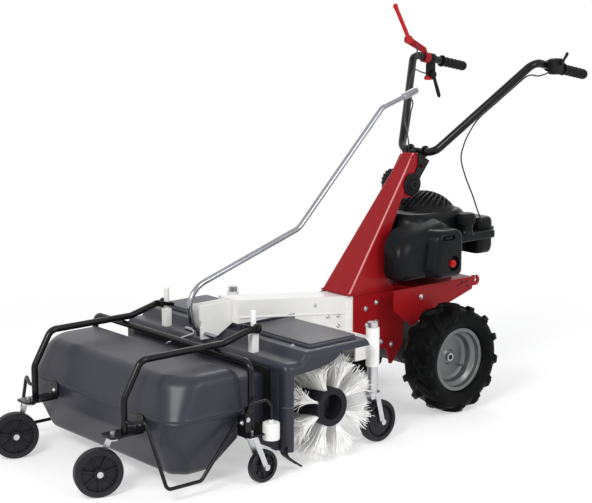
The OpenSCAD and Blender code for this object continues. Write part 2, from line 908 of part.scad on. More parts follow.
// Domed grille with slanted slots
module recoil_grille() {
  r = grille_d / 2;
  bow_r = (r * r + grille_h * grille_h) / (2 * grille_h);
  color([0.1, 0.1, 0.1]) translate([engine_x, engine_y, housing_top_z]) difference() {
    intersection() {
      translate([0, 0, grille_h - bow_r]) sphere(r = bow_r);
      cylinder(r = r, h = grille_h);
    }
    intersection() {
      for (i = [0:grille_slots - 1])
        rotate([0, 0, 30]) translate([-r, (i - (grille_slots - 1) / 2) * slot_w * 2 - slot_w / 2, grille_h - slot_deep])
          cube([grille_d, slot_w, slot_deep + over]);
      cylinder(r = r * 0.8, h = grille_h + over);
    }
  }
}

// Tank behind the engine with the filler arm on the near side
module fuel_tank() {
  color([0.12, 0.12, 0.12]) {
    hull() corner_posts([-tank_x, housing_rear_y, tank_z], [tank_x, tank_rear_y, tank_top_z], tank_corner_r);
    hull() corner_posts([arm_x, arm_front_y, arm_z],
      [arm_x + arm_w, housing_rear_y + 2 * tank_corner_r, arm_top_z], arm_w / 4);
    translate([fill_x, fill_y, arm_top_z]) cylinder(r = neck_r, h = neck_h);
  }
}

// Fuel cap with finger grips
module fuel_cap() {
  color("black") translate([fill_x, fill_y, arm_top_z + neck_h + gap]) {
    cylinder(r = fuel_cap_r, h = fuel_cap_h);
    for (i = [0:fuel_cap_grips - 1])
      rotate([0, 0, i * 360 / fuel_cap_grips]) translate([fuel_cap_r, 0, 0]) cylinder(r = over, h = fuel_cap_h * 0.7);
  }
}

// Filter cover on the cowl with the well of its knob
module filter_cover() {
  color([0.12, 0.12, 0.12]) difference() {
    hull()
      for (y = [-filter_front_ahead + filter_corner_r, cowl_rear_y - filter_corner_r])
        for (z = [cowl_z + filter_corner_r, cowl_top_z - filter_corner_r])
          translate([cowl_x + filter_t / 2, y, z]) rotate([0, 90, 0])
            cylinder(r1 = filter_corner_r, r2 = filter_corner_r * 0.8, h = filter_t, center = true, $fn = 32);
    translate([cowl_x + filter_t, knob_y, knob_z]) barrel(well_r, 2 * well_deep);
    translate([cowl_x + filter_t, knob_y, knob_z]) barrel(knob_pin_d / 2 + play, 2 * (filter_t - over));
  }
}

// Red knob that holds the filter cover
module filter_knob() {
  color("red") translate([cowl_x + filter_t - well_deep + gap, knob_y, knob_z]) {
    translate([knob_h / 2, 0, 0]) barrel(knob_r, knob_h);
    translate([-knob_pin_d / 4, 0, 0]) barrel(knob_pin_d / 2, knob_pin_d / 2);
    translate([knob_h, 0, 0]) block([0, -knob_r * 0.8, -over], [sheet_t, knob_r * 0.8, over]);
  }
}

// Side outline of the beam, drawn in on every edge by the given wall
module beam_side(wall) {
  slope = (beam_front_z - beam_rear_z) / (beam_front_ahead - flange_ahead);
  rear = flange_ahead + beam_flange_t;
  polygon([
    [-rear - wall, chassis_nose_z + wall], [-rear - wall, beam_rear_z - wall],
    [-beam_front_ahead + wall, beam_rear_z + slope * (beam_front_ahead - rear) - wall],
    [-beam_front_ahead + wall, beam_seat_z + wall], [-beam_step_ahead + wall, beam_seat_z + wall],
    [-beam_step_ahead + wall, beam_belly_z + wall]]);
}

// Beam: a box with a bolting flange behind and two nose plates in front
module beam() {
  color("ivory") {
    difference() {
      across(beam_w) beam_side(0);
      across(beam_w - 2 * beam_wall) beam_side(beam_wall);
    }
    block([-beam_flange_w / 2, -flange_ahead - beam_flange_t, chassis_nose_z],
      [beam_flange_w / 2, -flange_ahead, beam_rear_z]);
    both_sides() translate([(nose_w - plate_t) / 2, 0, 0]) difference() {
      across(plate_t) difference() {
        polygon([[-beam_front_ahead, beam_seat_z], [-beam_front_ahead, beam_front_z - plate_t],
          [-nose_front_ahead, beam_front_z - plate_t], [-nose_front_ahead, beam_seat_z + plate_t * 3],
          [-nose_chin_ahead, nose_z], [-nose_heel_ahead, nose_z]]);
        translate([-nose_front_ahead - plate_t * 2, beam_seat_z + plate_t * 2]) circle(r = plate_t * 3);
      }
      translate([0, -lift_ahead, lift_z]) barrel(cross_d / 2 + play, plate_t + over);
    }
  }
}

// Gear case of the brush: a drum on the brush axis and a neck up to the beam
module brush_gearbox() {
  color("gray") difference() {
    union() {
      translate([0, -brush_ahead, brush_z]) barrel(gearcase_r, gearcase_w);
      block([-gearcase_w / 2, -brush_ahead - gearcase_neck / 2, brush_z],
        [gearcase_w / 2, -brush_ahead + gearcase_neck / 2, beam_seat_z]);
    }
    translate([0, -brush_ahead, brush_z]) barrel(brush_shaft_d / 2 + play, gearcase_w + over);
  }
}

// Side outline of the hood, grown downwards and to the rear by the given reach
module hood_side(reach) {
  polygon(concat(
    [[-hood_front_ahead, hood_hem_z - reach], [-hood_front_ahead, hood_tier_z - hood_round_r]],
    [for (t = [0:15:90]) [-hood_front_ahead + hood_round_r * (1 - cos(t)), hood_tier_z - hood_round_r * (1 - sin(t))]],
    [[-hood_tier_ahead, hood_tier_z], [-hood_step_ahead, hood_roof_z], [-hood_back_ahead + reach, hood_roof_z],
      [-hood_back_ahead + reach, hood_hem_z - reach]]));
}

// Hood: a moulded shell with arched ends, a window to the hopper, raised lids and a pad under the beam
module hood() {
  color([0.22, 0.22, 0.24]) difference() {
    union() {
      difference() {
        across(hood_w + 2 * hood_wall) hood_side(0);
        across(hood_w) offset(delta = -hood_wall) hood_side(2 * hood_wall);
        across(hood_w + 3 * hood_wall) polygon(concat(
          [[-arch_ahead, 0], [-arch_ahead, arch_z]],
          [for (t = [0:10:90]) [-arch_ahead + (arch_ahead - arch_back_ahead) * sin(t),
            arch_z + (arch_top_z - arch_z) * (1 - cos(t))]],
          [[-hood_back_ahead + over, arch_top_z], [-hood_back_ahead + over, 0]]));
      }
      block([-hood_w / 2, -hood_back_ahead - hood_wall, hood_roof_z - hood_lip], [hood_w / 2, -hood_back_ahead, hood_roof_z]);
      block([-beam_w / 2, -beam_front_ahead, hood_roof_z - hood_wall], [beam_w / 2, -hood_back_ahead, beam_seat_z]);
      both_sides() {
        block([lid_near_x, -lid_front_ahead, hood_roof_z - hood_wall], [lid_far_x, -lid_rear_ahead, hood_roof_z + lid_h]);
        block([lid_near_x, -lid_front_ahead + lid_h, hood_roof_z], [lid_far_x - lid_h, -lid_rear_ahead, hood_roof_z + 1.5 * lid_h]);
        block([rib_x - rib_w / 2, -hood_front_ahead - rib_deep, hood_hem_z],
          [rib_x + rib_w / 2, -hood_front_ahead + hood_wall, hood_tier_z - 2 * hood_round_r]);
      }
    }
    block([-window_w / 2, -hood_front_ahead - over, window_z], [window_w / 2, -hood_front_ahead + hood_wall + over, window_top_z]);
    block([-gearcase_w / 2 - slot_play, -brush_ahead - gearcase_neck / 2 - slot_play, hood_hem_z],
      [gearcase_w / 2 + slot_play, -brush_ahead + gearcase_neck / 2 + slot_play, beam_seat_z + over]);
  }
}

// Square posts on the hood with the hinge pins of the hopper
module hook_posts() {
  color("ivory") both_sides() translate([post_x, -hinge_ahead, 0]) {
    difference() {
      block([-post_w / 2, -post_w / 2, hood_tier_z], [post_w / 2, post_w / 2, post_top_z]);
      block([post_wall - post_w / 2, post_wall - post_w / 2, hinge_z + hook_pin_d],
        [post_w / 2 - post_wall, post_w / 2 - post_wall, post_top_z + over]);
    }
    translate([post_w / 2 + hook_plate_t * 0.7, 0, hinge_z]) barrel(hook_pin_d / 2, hook_plate_t * 1.4);
  }
}

// Stem sockets behind the hood, on bars from the beam
module stem_brackets() {
  color("ivory") both_sides() difference() {
    union() {
      translate([stem_x, -stem_ahead, socket_z]) cylinder(r = socket_r, h = socket_top_z - socket_z);
      block([beam_w / 2, -stem_ahead + socket_r - stem_bar_t, stem_bar_z], [stem_x, -stem_ahead + socket_r, stem_bar_z + stem_bar_h]);
      block([stem_x - stem_plate_in, -stem_plate_front, stem_plate_z], [stem_x - stem_plate_in + plate_t, -stem_ahead, stem_plate_top_z]);
    }
    translate([stem_x, -stem_ahead, socket_z - over]) cylinder(r = leg_r + play, h = socket_top_z - socket_z + 2 * over);
  }
}

// Rubber flaps under the front corners of the hood
module dust_flaps() {
  color([0.1, 0.1, 0.1]) both_sides() translate([(hood_w - rib_w) / 2, 0, 0]) across(rib_w) polygon([
    [-hood_front_ahead + hood_wall, hood_hem_z + 2 * rib_deep], [-hood_front_ahead + hood_wall, hood_hem_z - rib_deep],
    [-hood_front_ahead + hood_hem_z, rib_deep], [-hood_front_ahead + hood_hem_z, rib_deep + hood_wall],
    [-hood_front_ahead + 2 * hood_wall, hood_hem_z], [-hood_front_ahead + 2 * hood_wall, hood_hem_z + 2 * rib_deep]]);
}

// Axle shaft with end caps outside the hubs
module axle_shaft() {
  end = track / 2 - rim_dish + rim_hub_out;
  color("silver") translate([0, 0, wheel_r]) {
    barrel(axle_d / 2, 2 * end + over);
    both_sides() translate([end + axle_cap_w / 2, 0, 0]) barrel(axle_cap_d / 2, axle_cap_w);
  }
}

// Deep-dished rim: bead seats, a drop centre, a disc on its inner side and a bored hub
module rim() {
  r = rim_d / 2;
  half = bead_w / 2;
  lip = half + rim_lip_w;
  seat = half - rim_seat;
  well = seat - rim_drop;
  color("silver") translate([track / 2, 0, wheel_r]) rotate([0, 90, 0]) rotate_extrude() {
    polygon([[r + rim_lip, lip], [r + rim_lip, half], [r, half], [r, seat], [r - rim_well, well], [r - rim_well, -well],
      [r, -seat], [r, -half], [r + rim_lip, -half], [r + rim_lip, -lip], [r - rim_wall, -lip], [r - rim_wall, -seat],
      [r - rim_well - rim_wall, -well], [r - rim_well - rim_wall, well], [r - rim_wall, seat], [r - rim_wall, lip]]);
    translate([rim_hub_d / 2 - over, -rim_dish]) square([r - rim_well - rim_wall / 2 - rim_hub_d / 2 + over, rim_wall]);
    translate([axle_d / 2 + play, -rim_hub_w / 2])
      square([(rim_hub_d - axle_d) / 2 - play, rim_hub_w / 2 - rim_dish + rim_hub_out]);
  }
}

module drive_rims() {
  both_sides() rim();
}

// Tyre: a revolved carcass with two rows of slanted lugs
module tyre() {
  bead_r = rim_d / 2 + 2 * play;
  tread_r = wheel_r - lug_h;
  low_r = bead_r + rim_lip + over;
  side_r = (low_r + tread_r) / 2;
  swell = (tread_r - low_r) / 2 / sin(60);
  color([0.12, 0.12, 0.12]) translate([track / 2, 0, wheel_r]) rotate([0, 90, 0]) {
    rotate_extrude() polygon(concat(
      [[bead_r, -bead_w / 2 + play], [bead_r + rim_lip, -bead_w / 2 + play]],
      [for (t = [-60:20:60]) [side_r + swell * sin(t), -tyre_w / 2 * cos(t * 0.6)]],
      [[tread_r, -tread_w / 2], [tread_r, tread_w / 2]],
      [for (t = [60:-20:-60]) [side_r + swell * sin(t), tyre_w / 2 * cos(t * 0.6)]],
      [[bead_r + rim_lip, bead_w / 2 - play], [bead_r, bead_w / 2 - play]]));
    intersection() {
      cylinder(r = wheel_r, h = tyre_w, center = true);
      for (side = [0, 1]) for (i = [0:lugs - 1])
        rotate([0, 0, (i + side / 2) * 360 / lugs]) mirror([0, 0, side]) rotate([0, 90, 0])
          translate([0, 0, wheel_r - lug_root]) linear_extrude(height = lug_root) polygon([
            [-lug_edge / 2, -lug_w / 2], [-lug_edge / 2, lug_w / 2],
            [lug_edge - tyre_w / 2, lug_w / 2 + lug_sweep], [lug_edge - tyre_w / 2, lug_sweep - lug_w / 2]]);
    }
  }
}

module drive_tyres() {
  both_sides() tyre();
}

// Brush shaft with the hubs that carry the core tubes
module brush_shaft() {
  half = brush_w / 2;
  color("silver") translate([0, -brush_ahead, brush_z]) {
    barrel(brush_shaft_d / 2, brush_w - 2 * hub_in);
    for (x = [core_gap + hub_w, half - hub_in - hub_w / 2])
      both_sides() translate([x, 0, 0]) barrel(core_bore / 2 - play, hub_w);
  }
}

module brush_cores() {
  color("black") both_sides() translate([(brush_w / 2 + core_gap) / 2, -brush_ahead, brush_z]) difference() {
    barrel(core_d / 2, brush_w / 2 - core_gap);
    barrel(core_bore / 2, brush_w / 2);
  }
}

// One three-sided strand from its root a to its tip b
function strand_points(a, b) = concat(
  [for (k = [0:2]) a + strand_root * [cos(120 * k), sin(120 * k), 0]],
  [for (k = [0:2]) b + strand_tip * [cos(120 * k), sin(120 * k), 0]]);

// Bristle strips on the cores: each has one row of strands that lean to either side in turn
module bristles() {
  half = brush_w / 2;
  pitch = (half - core_gap) / strip_strands;
  seat = core_d / 2 + 2 * play;
  faces = [[0, 1, 2], [5, 4, 3], [0, 3, 4], [0, 4, 1], [1, 4, 5], [1, 5, 2], [2, 5, 3], [2, 3, 0]];
  tip = brush_r - strand_tip;
  color("ivory") translate([0, -brush_ahead, brush_z]) resize([brush_w, 0, 0])
    both_sides() for (row = [0:strip_rows - 1]) rotate([(row + 0.5) * 360 / strip_rows, 0, 0]) {
      block([core_gap, -strip_w / 2, seat], [half, strip_w / 2, seat + strip_h]);
      for (i = [0:strip_strands - 1]) {
        lean = i % 2 == 0 ? strand_lean : -strand_lean;
        side = i % 2 == 0 ? strand_side : -strand_side;
        x = core_gap + (i + 0.5) * pitch;
        polyhedron(faces = faces, points = strand_points([x, -side, seat + strip_h / 2],
          [x, -tip * sin(lean), tip * cos(lean)]));
      }
    }
}

// Lift lever: cross rod, bent rod with a hand end, and the finger under the bow of the hopper
module lift_lever() {
  route = concat([[0, -lift_ahead, lift_z]],
    [for (s = lift_route_shares) [0, -lift_ahead - s.x * lift_reach, lift_z + s.y * lift_rise]]);
  last = len(route) - 1;
  color("silver") {
    translate([0, -lift_ahead, lift_z]) barrel(cross_d / 2, cross_w);
    bar_along(bent(route, lift_bend_r), lift_rod_d / 2, lift_sides);
    aimed(route[last], route[last - 1] - route[last]) cylinder(r = lift_knob_r, h = lift_knob_len);
    across(finger_t) polygon([[-lift_ahead, lift_z - finger_root], [-lift_ahead, lift_z + finger_root],
      [-finger_end_ahead, finger_tip_z + finger_tip_h], [-finger_end_ahead, finger_tip_z]]);
  }
}

// Fork legs down to the bolt of a wheel: stem offset, wheel radius and width, and the height of the crown's underside
module fork_legs(trail, r, w, crown_z, legs) {
  for (side = legs) translate([side * (w / 2 + fork_gap + fork_t / 2), 0, 0]) across(fork_t) {
    polygon([[-bolt_head_r, crown_z + fork_crown_h], [bolt_head_r, crown_z + fork_crown_h],
      [trail + bolt_head_r, r], [trail - bolt_head_r, r]]);
    translate([trail, r]) circle(r = bolt_head_r);
  }
  reach = w / 2 + fork_gap + fork_t;
  translate([0, trail, r]) barrel(axle_bolt_d / 2, 2 * reach);
  for (side = [-1, 1]) translate([side * (reach + bolt_head_w / 2 - fork_t * (search(side, legs) == [] ? 1 : 0)), trail, r])
    barrel(bolt_head_r, bolt_head_w);
}

// Swivel fork: crown disc, stem through the plate above and a nut over it
module swivel_fork(trail, r, w, plate_low, legs) {
  crown_z = plate_low - gap - fork_crown_h;
  color("gainsboro") {
    translate([0, 0, crown_z]) cylinder(r = crown_r, h = fork_crown_h);
    translate([0, 0, crown_z]) cylinder(r = stem_d / 2, h = fork_crown_h + plate_t + nut_h);
    translate([0, 0, plate_low + plate_t + gap]) cylinder(r = nut_r, h = nut_h);
    fork_legs(trail, r, w, crown_z, legs);
  }
}

// Wheel with a bored hub, spokes and a rounded tyre
module wheel(r, w) {
  hub_r = axle_bolt_d;
  tyre_h = r * 0.24;
  color([0.13, 0.13, 0.13]) rotate([0, 90, 0]) {
    rotate_extrude() {
      translate([axle_bolt_d / 2 + play, -w / 2]) square([hub_r, w]);
      translate([hub_r, -w / 10]) square([r - tyre_h - hub_r + over, w / 5]);
      polygon([[r - tyre_h, -w / 2], [r - over, -w / 2], [r, -w / 3], [r, w / 3], [r - over, w / 2], [r - tyre_h, w / 2]]);
    }
    for (i = [0:6]) rotate([0, 0, i * 360 / 7])
      block([hub_r, -over, -w / 3], [r - tyre_h + over, over, w / 3]);
  }
}

module at_front_axis(side) {
  translate([side * front_axis_x, -front_axis_ahead, 0]) rotate([0, 0, -front_yaw]) children();
}

module at_rear_axis(side) {
  translate([side * rear_axis_x, -rear_axis_ahead, 0]) children();
}

module front_left_fork() { at_front_axis(1) swivel_fork(-front_trail, front_caster_d / 2, front_wheel_w, plate_z, [-1]); }
module front_right_fork() { at_front_axis(-1) swivel_fork(-front_trail, front_caster_d / 2, front_wheel_w, plate_z, [-1]); }
module rear_left_fork() { at_rear_axis(1) swivel_fork(rear_trail, rear_caster_d / 2, rear_wheel_w, rear_plate_z, [-1, 1]); }
module rear_right_fork() { at_rear_axis(-1) swivel_fork(rear_trail, rear_caster_d / 2, rear_wheel_w, rear_plate_z, [-1, 1]); }
module front_wheel() { translate([0, -front_trail, front_caster_d / 2]) wheel(front_caster_d / 2, front_wheel_w); }
module rear_wheel() { translate([0, rear_trail, rear_caster_d / 2]) wheel(rear_caster_d / 2, rear_wheel_w); }
module front_left_wheel() { at_front_axis(1) front_wheel(); }
module front_right_wheel() { at_front_axis(-1) front_wheel(); }
module rear_left_wheel() { at_rear_axis(1) rear_wheel(); }
module rear_right_wheel() { at_rear_axis(-1) rear_wheel(); }

// Support leg: a tube in its socket, with a fork for the support wheel
module left_support_leg() {
  color("gainsboro") translate([stem_x, -stem_ahead, 0]) {
    translate([0, 0, leg_foot_z]) cylinder(r = leg_r, h = leg_top_z - leg_foot_z);
    translate([0, 0, leg_foot_z]) cylinder(r = leg_r + support_w / 4, h = fork_crown_h);
    fork_legs(support_trail, support_d / 2, support_w, leg_foot_z, [-1, 1]);
  }
}

module right_support_leg() {
  mirror([1, 0, 0]) left_support_leg();
}

module left_support_wheel() {
  translate([stem_x, -stem_ahead + support_trail, support_d / 2]) wheel(support_d / 2, support_w);
}

module right_support_wheel() {
  mirror([1, 0, 0]) left_support_wheel();
}

// Outer form of the hopper lid, drawn in on every side by the given wall and let down through the seam
module lid_form(wall, drop) {
  half = hopper_w / 2 - wall;
  hull() {
    corner_posts([-half, -hopper_front_ahead + wall, hopper_seam_z - drop],
      [half, -hopper_front_ahead + wall + 2 * hopper_corner_r, hopper_seam_z + seam_h], hopper_corner_r);
    corner_posts([-half, -hopper_rear_ahead - 4 * hopper_rear_r, hopper_seam_z - drop],
      [half, -hopper_rear_ahead - wall, hopper_seam_z + seam_h], hopper_rear_r);
    for (x = [-1, 1]) {
      translate([x * (half - hopper_lid_in - hopper_lid_turn - hopper_lid_r), -hopper_lid_ahead + wall + hopper_lid_r,
        hopper_top_z - wall - hopper_lid_r]) sphere(r = hopper_lid_r, $fn = 28);
      translate([x * (half - hopper_lid_in - hopper_lid_r), -hopper_rear_ahead - wall - hopper_rear_r,
        hopper_top_z - wall - hopper_rear_r]) sphere(r = hopper_rear_r, $fn = 28);
    }
  }
}

// Outer form of the lower shell, drawn in on every side by the given wall and let up through the seam
module tub_form(wall, rise) {
  half = hopper_w / 2 - wall;
  low = half - floor_in;
  hull() {
    corner_posts([-half, -hopper_front_ahead + wall, hopper_seam_z - seam_h],
      [half, -hopper_front_ahead + wall + 2 * hopper_corner_r, hopper_seam_z + rise], hopper_corner_r);
    corner_posts([-half, -hopper_rear_ahead - 4 * hopper_rear_r, hopper_seam_z - seam_h],
      [half, -hopper_rear_ahead - wall, hopper_seam_z + rise], hopper_rear_r);
    corner_posts([-low, -floor_front_ahead + wall, hopper_floor_z + wall],
      [low, -floor_rear_ahead, hopper_floor_z + wall + seam_h], floor_r);
    corner_posts([-low, -hopper_rear_ahead - 4 * hopper_rear_r, tail_z + wall],
      [low, -hopper_rear_ahead - wall, tail_z + wall + seam_h], hopper_rear_r);
  }
}

// Flat rim of the seam, from the low to the high face
module seam_rim(low, high) {
  hull() corner_posts([-hopper_w / 2 - seam_lip, -hopper_front_ahead - seam_lip, low],
    [hopper_w / 2 + seam_lip, -hopper_rear_ahead, high], hopper_corner_r);
}

// Upper shell: the lid with its half of the mouth
module hopper_upper() {
  color([0.2, 0.2, 0.22]) difference() {
    union() {
      lid_form(0, 0);
      seam_rim(hopper_seam_z, hopper_seam_z + seam_h);
      block([-mouth_w / 2, -hopper_rear_ahead - hopper_rear_r, hopper_seam_z], [mouth_w / 2, -mouth_back_ahead, mouth_top_z]);
    }
    lid_form(hopper_wall, over);
    block([-mouth_w / 2 + hopper_wall, -hopper_rear_ahead - hopper_corner_r, hopper_seam_z - over],
      [mouth_w / 2 - hopper_wall, -mouth_back_ahead + over, mouth_top_z - hopper_wall]);
  }
}

// Lower shell: the tub with its half of the mouth
module hopper_lower() {
  color([0.22, 0.22, 0.24]) difference() {
    union() {
      tub_form(0, 0);
      seam_rim(hopper_seam_z - seam_h, hopper_seam_z);
      block([-mouth_w / 2, -hopper_rear_ahead - hopper_rear_r, mouth_z], [mouth_w / 2, -mouth_back_ahead, hopper_seam_z]);
    }
    tub_form(hopper_wall, over);
    block([-mouth_w / 2 + hopper_wall, -hopper_rear_ahead - hopper_corner_r, mouth_z + hopper_wall],
      [mouth_w / 2 - hopper_wall, -mouth_back_ahead + over, hopper_seam_z + over]);
  }
}

// Hoops over the lid, each with a flat hook plate bored for the hinge pin
module hopper_hoops() {
  color("black") both_sides() {
    bar_along(bent([
      [hoop_x, -hoop_foot_ahead, plate_z + plate_t], [hoop_x, -hoop_foot_ahead, hoop_knee_z],
      [hoop_x, -hoop_front_ahead, hoop_top_z], [hoop_x, -hoop_kink_ahead, hoop_top_z],
      [hoop_x, -hoop_end_ahead, hinge_z]], frame_bend_r), frame_tube_d / 2, frame_sides);
    translate([hoop_x, -hinge_ahead, hinge_z]) difference() {
      across(hook_plate_t) {
        circle(r = hook_eye_r);
        translate([hinge_ahead - hoop_end_ahead - hook_eye_r / 2, -frame_tube_d / 2])
          square([hoop_end_ahead - hinge_ahead, frame_tube_d]);
      }
      barrel(hook_pin_d / 2 + play, hook_plate_t + over);
    }
  }
}

module rear_bow() {
  foot = rear_plate_z + plate_t;
  color("black") bar_along(bent([[bow_x, -bow_ahead, foot], [bow_x, -bow_ahead, bow_z], [-bow_x, -bow_ahead, bow_z],
    [-bow_x, -bow_ahead, foot]], frame_bend_r), frame_tube_d / 2, frame_sides);
}

// Side loops from the hoops round the tub to the rear brackets
module side_loops() {
  start = hoop_x + frame_tube_d / 2 + gap;
  end_ahead = rear_axis_ahead + rear_plate_w / 2 + loop_d / 2;
  color("black") both_sides() bar_along(bent([
    [start, -hoop_foot_ahead, loop_start_z], [start + loop_d * 2, -hoop_foot_ahead, loop_start_z],
    [loop_knee_x, -loop_knee_ahead, loop_knee_z], [loop_x, -loop_front_ahead, loop_floor_z],
    [loop_x, -loop_rear_ahead, loop_floor_z], [loop_x, -end_ahead, loop_end_z]],
    loop_bend_r), loop_d / 2, frame_sides);
}

// Plates on the seam of the hopper that carry the front casters
module front_caster_plates() {
  seat = hopper_front_ahead + seam_lip;
  color([0.15, 0.15, 0.15]) both_sides() translate([front_axis_x, 0, 0]) difference() {
    union() {
      block([-plate_w / 2, -plate_front_ahead, plate_z], [plate_w / 2, -seat, plate_z + plate_t]);
      block([-plate_w / 2, -seat - plate_t, plate_z], [plate_w / 2, -seat, plate_z + tab_h]);
    }
    translate([0, -front_axis_ahead, plate_z - over]) cylinder(r = stem_d / 2 + play, h = plate_t + 2 * over);
  }
}

// Brackets under the bow that carry the rear casters and the latches
module rear_caster_brackets() {
  half = rear_plate_w / 2;
  color([0.15, 0.15, 0.15]) both_sides() difference() {
    union() {
      translate([rear_axis_x, -rear_axis_ahead, 0]) {
        block([-half, -half, rear_plate_z], [half, half, rear_plate_z + plate_t]);
        block([-half, -half, rear_plate_z], [ear_x + plate_t / 2 - rear_axis_x, plate_t - half, rear_plate_z + ear_h * 0.7]);
      }
      block([ear_x - plate_t / 2, -rear_axis_ahead - half, rear_plate_z],
        [ear_x + plate_t / 2, -rear_axis_ahead - half + ear_w, rear_plate_z + ear_h]);
    }
    translate([rear_axis_x, -rear_axis_ahead, rear_plate_z - over])
      cylinder(r = stem_d / 2 + play, h = plate_t + 2 * over);
    translate([ear_x, -latch_ahead, latch_z]) barrel(latch_pin_d / 2 + play, plate_t + over);
  }
}

// Latch: a pin in the bracket's ear, a bent rod and a white weight on its end
module left_latch() {
  x = ear_x + plate_t / 2 + gap + latch_eye_w / 2;
  color([0.15, 0.15, 0.15]) {
    translate([x, -latch_ahead, latch_z]) barrel(latch_eye_r, latch_eye_w);
    translate([ear_x, -latch_ahead, latch_z]) barrel(latch_pin_d / 2, 2 * (x - ear_x));
    bar_along(bent([[x, -latch_ahead, latch_z], [x, -latch_ahead, latch_z + latch_rise],
      [x, -latch_shoulder_ahead, latch_z + latch_rise], [x, -weight_ahead, latch_z],
      [x, -weight_ahead, weight_z + weight_h]], latch_rod_d), latch_rod_d / 2, cable_sides);
  }
  color("white") translate([x, -weight_ahead, weight_z]) cylinder(r = weight_r, h = weight_h);
}

module right_latch() {
  mirror([1, 0, 0]) left_latch();
}

in_frame() chassis_frame();
in_frame() gearbox_case();
in_frame() engine_deck();
in_frame() column();
in_frame() column_cap();
in_frame() handle_bracket();
in_frame() left_handle();
in_frame() right_handle();
in_frame() grips();
in_frame() engine_block();
in_frame() blower_housing();
in_frame() recoil_grille();
in_frame() fuel_tank();
in_frame() filter_cover();
in_frame() control_bracket();
in_frame() trigger_clamp();
in_frame() throttle_body();
in_frame() throttle_cable();
in_frame() clutch_cables();
in_frame() beam();
in_frame() brush_gearbox();
in_frame() hood();
in_frame() hook_posts();
in_frame() stem_brackets();
in_frame() dust_flaps();
in_frame() axle_shaft();
in_frame() drive_rims();
in_frame() drive_tyres();
in_frame() clutch_lever();
in_frame() trigger_lever();
in_frame() throttle_lever();
in_frame() fuel_cap();
in_frame() filter_knob();
in_frame() lock_knob();
in_frame() brush_shaft();
in_frame() brush_cores();
in_frame() bristles();
in_frame() lift_lever();
in_frame() left_support_leg();
in_frame() right_support_leg();
in_frame() left_support_wheel();
in_frame() right_support_wheel();
in_frame() hopper_upper();
in_frame() hopper_lower();
in_frame() hopper_hoops();
in_frame() rear_bow();
in_frame() side_loops();
in_frame() front_caster_plates();
in_frame() rear_caster_brackets();
in_frame() left_latch();
in_frame() right_latch();
in_frame() front_left_fork();
in_frame() front_right_fork();
in_frame() rear_left_fork();
in_frame() rear_right_fork();
in_frame() front_left_wheel();
in_frame() front_right_wheel();
in_frame() rear_left_wheel();
in_frame() rear_right_wheel();
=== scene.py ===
import math
import bpy
import numpy as np
from mathutils import Matrix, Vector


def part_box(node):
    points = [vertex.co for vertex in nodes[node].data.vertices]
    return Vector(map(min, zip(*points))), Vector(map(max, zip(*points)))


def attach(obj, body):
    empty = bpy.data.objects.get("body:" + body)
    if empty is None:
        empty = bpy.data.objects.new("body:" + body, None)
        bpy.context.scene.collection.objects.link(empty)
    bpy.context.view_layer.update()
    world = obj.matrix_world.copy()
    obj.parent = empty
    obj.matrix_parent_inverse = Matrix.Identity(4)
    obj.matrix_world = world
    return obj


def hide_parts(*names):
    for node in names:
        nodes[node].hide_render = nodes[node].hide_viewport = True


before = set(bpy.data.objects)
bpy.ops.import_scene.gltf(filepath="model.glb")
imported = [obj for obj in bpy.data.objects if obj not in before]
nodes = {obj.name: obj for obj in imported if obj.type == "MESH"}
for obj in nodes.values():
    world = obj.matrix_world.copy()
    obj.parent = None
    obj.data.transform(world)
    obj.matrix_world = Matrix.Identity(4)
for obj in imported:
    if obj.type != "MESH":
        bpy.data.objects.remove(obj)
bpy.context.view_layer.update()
low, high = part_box("axle_shaft")
axleY = (low.y + high.y) / 2     # the layout counts y from the drive axle
axleZ = 181                      # and the axle stands at this height, in millimetres
bothSides = (1, -1)              # left, right
namedSides = ((1, "left"), (-1, "right"))
fullTurn = 2 * math.pi
rng = np.random.default_rng(11)
print("stage: frame loaded")


def at(points):
    # layout millimetres, y from the drive axle, to metres in the row frame
    return np.asarray(points, float) * 0.001 + np.array([0, axleY, 0])


def unit(v):
    return v / np.linalg.norm(v, axis=-1, keepdims=True)


def wire(tree, *pairs):
    for source, target in pairs:
        tree.links.new(source, target)


def link(name, data):
    obj = bpy.data.objects.new(name, data)
    bpy.context.scene.collection.objects.link(obj)
    return obj


def pose(obj, x, y, z, origin):
    m = np.eye(4)
    m[:3] = np.stack([x, y, z, origin], 1)
    obj.matrix_world = Matrix(m.tolist())


# shader tools

class Val:
    # a socket with Python arithmetic; each operation adds one Math node
    def __init__(self, tree, socket):
        self.tree, self.socket = tree, socket

    def op(self, kind, a, b):
        n = self.tree.nodes.new("ShaderNodeMath")
        n.operation = kind
        for slot, v in zip(n.inputs, (a, b)):
            if isinstance(v, Val):
                self.tree.links.new(v.socket, slot)
            else:
                slot.default_value = v
        return Val(self.tree, n.outputs[0])

    def __add__(self, o):
        return self.op("ADD", self, o)

    def __radd__(self, o):
        return self.op("ADD", o, self)

    def __sub__(self, o):
        return self.op("SUBTRACT", self, o)

    def __rsub__(self, o):
        return self.op("SUBTRACT", o, self)

    def __mul__(self, o):
        return self.op("MULTIPLY", self, o)

    def __rmul__(self, o):
        return self.op("MULTIPLY", o, self)

    def __truediv__(self, o):
        return self.op("DIVIDE", self, o)

    def __rtruediv__(self, o):
        return self.op("DIVIDE", o, self)

    def most(self, o):
        return self.op("MAXIMUM", self, o)

    def least(self, o):
        return self.op("MINIMUM", self, o)


